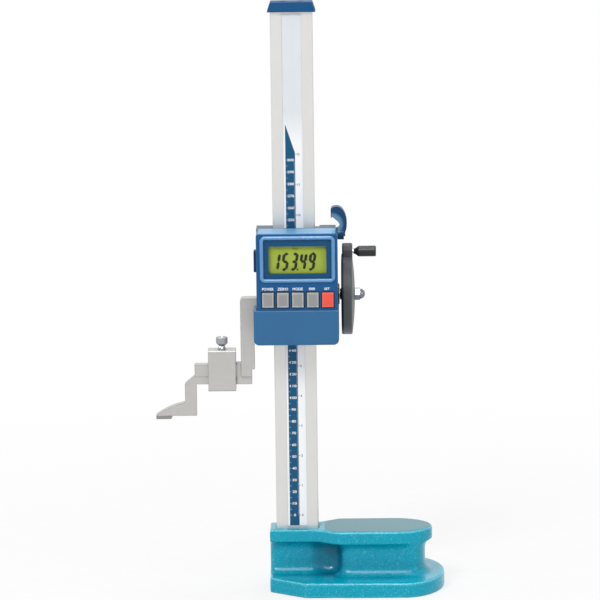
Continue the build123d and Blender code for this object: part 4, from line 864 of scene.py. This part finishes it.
def bezelRim():
    # the half-round rim of the bezel: a closed line with a round section, half sunk in the cover. Its blue
    # is lighter than the cover's, a painted highlight along the rim
    s = {"middleX": 3.2, "middleZ": 283.8, "width": 58.8, "height": 35.6, "corner": 2.6,
         "radius": 1.6, "y": -38.3}
    clearSelection()
    bpy.ops.mesh.primitive_plane_add(size=1, rotation=(math.radians(90), 0, 0),
                                     location=(s["middleX"] * mm, s["y"] * mm, s["middleZ"] * mm))
    rim = bpy.context.object
    rim.scale = (s["width"] * mm, s["height"] * mm, 1)
    bakePlace(rim)
    editAll(rim)
    bpy.ops.mesh.bevel(offset=s["corner"] * mm, segments=8, affect="VERTICES")
    bpy.ops.mesh.select_all(action="SELECT")
    bpy.ops.mesh.delete(type="ONLY_FACE")
    objectMode()
    bpy.ops.object.convert(target="CURVE")
    rim = bpy.context.object
    rim.data.bevel_depth = s["radius"] * mm
    rim.data.bevel_resolution = 5
    bpy.ops.object.convert(target="MESH")
    rim = bpy.context.object
    editAll(rim)
    bpy.ops.mesh.remove_doubles(threshold=0.000001)
    bpy.ops.mesh.normals_make_consistent(inside=False)
    objectMode()
    bpy.ops.object.shade_smooth()
    settle(rim, "bezel_rim", "slider", plastics["rimHighlightBlue"])


def keyWells():
    # a dark frame around each key: painted shade standing in for the shaded gap around the key
    s = {"y": -38.0, "border": 0.75, "gap": 0.15, "rise": 0.05, "flange": 0.6}
    wells = []
    for key in ("power_key", "zero_key", "mode_key", "unit_key", "set_key"):
        low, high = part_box(key)
        flange = s["flange"] * mm   # the key's hidden edge on either side
        x0, x1 = low.x + flange - s["gap"] * mm, high.x - flange + s["gap"] * mm
        z0, z1 = low.z - s["gap"] * mm, high.z + s["gap"] * mm
        clearSelection()
        bpy.ops.mesh.primitive_plane_add(size=1, rotation=(math.radians(90), 0, 0),
                                         location=((x0 + x1) / 2, s["y"] * mm, (z0 + z1) / 2))
        well = bpy.context.object
        border = s["border"] * mm
        well.scale = (x1 - x0 + 2 * border, z1 - z0 + 2 * border, 1)
        bakePlace(well)
        editAll(well)
        bpy.ops.mesh.inset(thickness=border)
        bpy.ops.mesh.delete(type="FACE")
        bpy.ops.mesh.select_all(action="SELECT")
        bpy.ops.mesh.extrude_region_move(TRANSFORM_OT_translate={"value": (0, -s["rise"] * mm, 0)})
        bpy.ops.mesh.select_all(action="SELECT")
        bpy.ops.mesh.normals_make_consistent(inside=False)
        objectMode()
        wells.append(well)
    settle(joinAll(wells), "key_gap_shades", "slider", plastics["gapShade"])


keyWords()
bezelRim()
keyWells()
print("head printed")


# the studio
def studioFloor():
    s = {"size": 40.0, "colour": (236, 236, 236), "nearGlow": 0.74, "near": 0.12, "far": 0.75}
    clearSelection()
    bpy.ops.mesh.primitive_plane_add(size=s["size"], location=(0, 0, -0.0002))
    floor = bpy.context.object
    bakePlace(floor)
    floor.name = "studio_floor"
    material, tree, shader = newMaterial("studioFloor")
    link = tree.links.new
    place = put(tree, "ShaderNodeTexCoord")
    length = put(tree, "ShaderNodeVectorMath", operation="LENGTH")
    link(place.outputs["Object"], length.inputs[0])
    grain = put(tree, "ShaderNodeTexNoise", {"Scale": 60.0, "Detail": 3.0})
    link(place.outputs["Object"], grain.inputs["Vector"])
    link(mixColours(tree, mapRange(tree, grain.outputs["Fac"], 0.3, 0.7, 0.0, 0.3), colour(*s["colour"]),
                    (1, 1, 1, 1)), shader.inputs["Base Color"])
    shader.inputs["Roughness"].default_value = 0.9
    shader.inputs["Specular IOR Level"].default_value = 0.0
    glow = put(tree, "ShaderNodeEmission", {"Color": (1, 1, 1, 1), "Strength": 1.0})
    path = put(tree, "ShaderNodeLightPath")
    seen = maths(tree, "MAXIMUM", path.outputs["Is Camera Ray"],
                 maths(tree, "MAXIMUM", path.outputs["Is Glossy Ray"], path.outputs["Is Transmission Ray"]))
    spread = mapRange(tree, length.outputs["Value"], s["near"], s["far"], s["nearGlow"], 1.0)
    mixed = put(tree, "ShaderNodeMixShader")
    link(maths(tree, "MULTIPLY", seen, spread), mixed.inputs[0])
    link(shader.outputs[0], mixed.inputs[1])
    link(glow.outputs[0], mixed.inputs[2])
    link(mixed.outputs[0], tree.nodes["Material Output"].inputs["Surface"])
    floor.data.materials.append(material)


def studioWorld():
    s = {"ambient": 0.47}
    world = bpy.data.worlds.new("studio")
    bpy.context.scene.world = world
    world.use_nodes = True
    tree = world.node_tree
    back = tree.nodes["Background"]
    back.inputs["Color"].default_value = (1, 1, 1, 1)
    path = put(tree, "ShaderNodeLightPath")
    seen = maths(tree, "MAXIMUM", path.outputs["Is Camera Ray"],
                 maths(tree, "MAXIMUM", path.outputs["Is Glossy Ray"], path.outputs["Is Transmission Ray"]))
    tree.links.new(mapRange(tree, seen, 0.0, 1.0, s["ambient"], 1.0), back.inputs["Strength"])


def lamp(name, place, aim, size, power):
    clearSelection()
    bpy.ops.object.light_add(type="AREA", location=place)
    light = bpy.context.object
    light.name = name
    light.data.energy = power
    light.data.size = size
    light.visible_camera = False
    light.rotation_euler = (Vector(aim) - Vector(place)).to_track_quat("-Z", "Y").to_euler()
    return light


def studioLights():
    middle = (0.02, 0, 0.22)
    lamp("keyLamp", (-0.9, -1.6, 1.9), middle, 0.7, 27)
    lamp("fillLamp", (1.9, -1.4, 0.9), middle, 1.2, 9)
    lamp("topLamp", (0.1, 0.3, 2.3), middle, 0.9, 15)
    lamp("backLamp", (0.1, 2.5, 0.95), middle, 1.3, 1.4)
    sheen = lamp("sheenLamp", (-0.2, -1.5, 2.1), (0.05, 0, 0.1), 1.5, 50)
    sheen.visible_diffuse = False   # only for the gloss on edges


def studioCamera():
    s = {"place": (0.0748, -4.0, 1.010), "turn": 1.01, "down": 10.86, "roll": -0.72, "lens": 294.94,
         "sensor": 36}
    clearSelection()
    bpy.ops.object.camera_add()
    camera = bpy.context.object
    camera.name = "studio_camera"
    camera.matrix_world = (Matrix.Translation(s["place"]) @ Matrix.Rotation(math.radians(s["turn"]), 4, "Z")
                           @ Matrix.Rotation(math.radians(90 - s["down"]), 4, "X")
                           @ Matrix.Rotation(math.radians(s["roll"]), 4, "Z"))
    camera.data.sensor_width = s["sensor"]
    camera.data.lens = s["lens"]
    bpy.context.scene.camera = camera


studioFloor()
studioWorld()
studioLights()
studioCamera()
bpy.context.scene.view_settings.view_transform = "Standard"
print("studio ready")
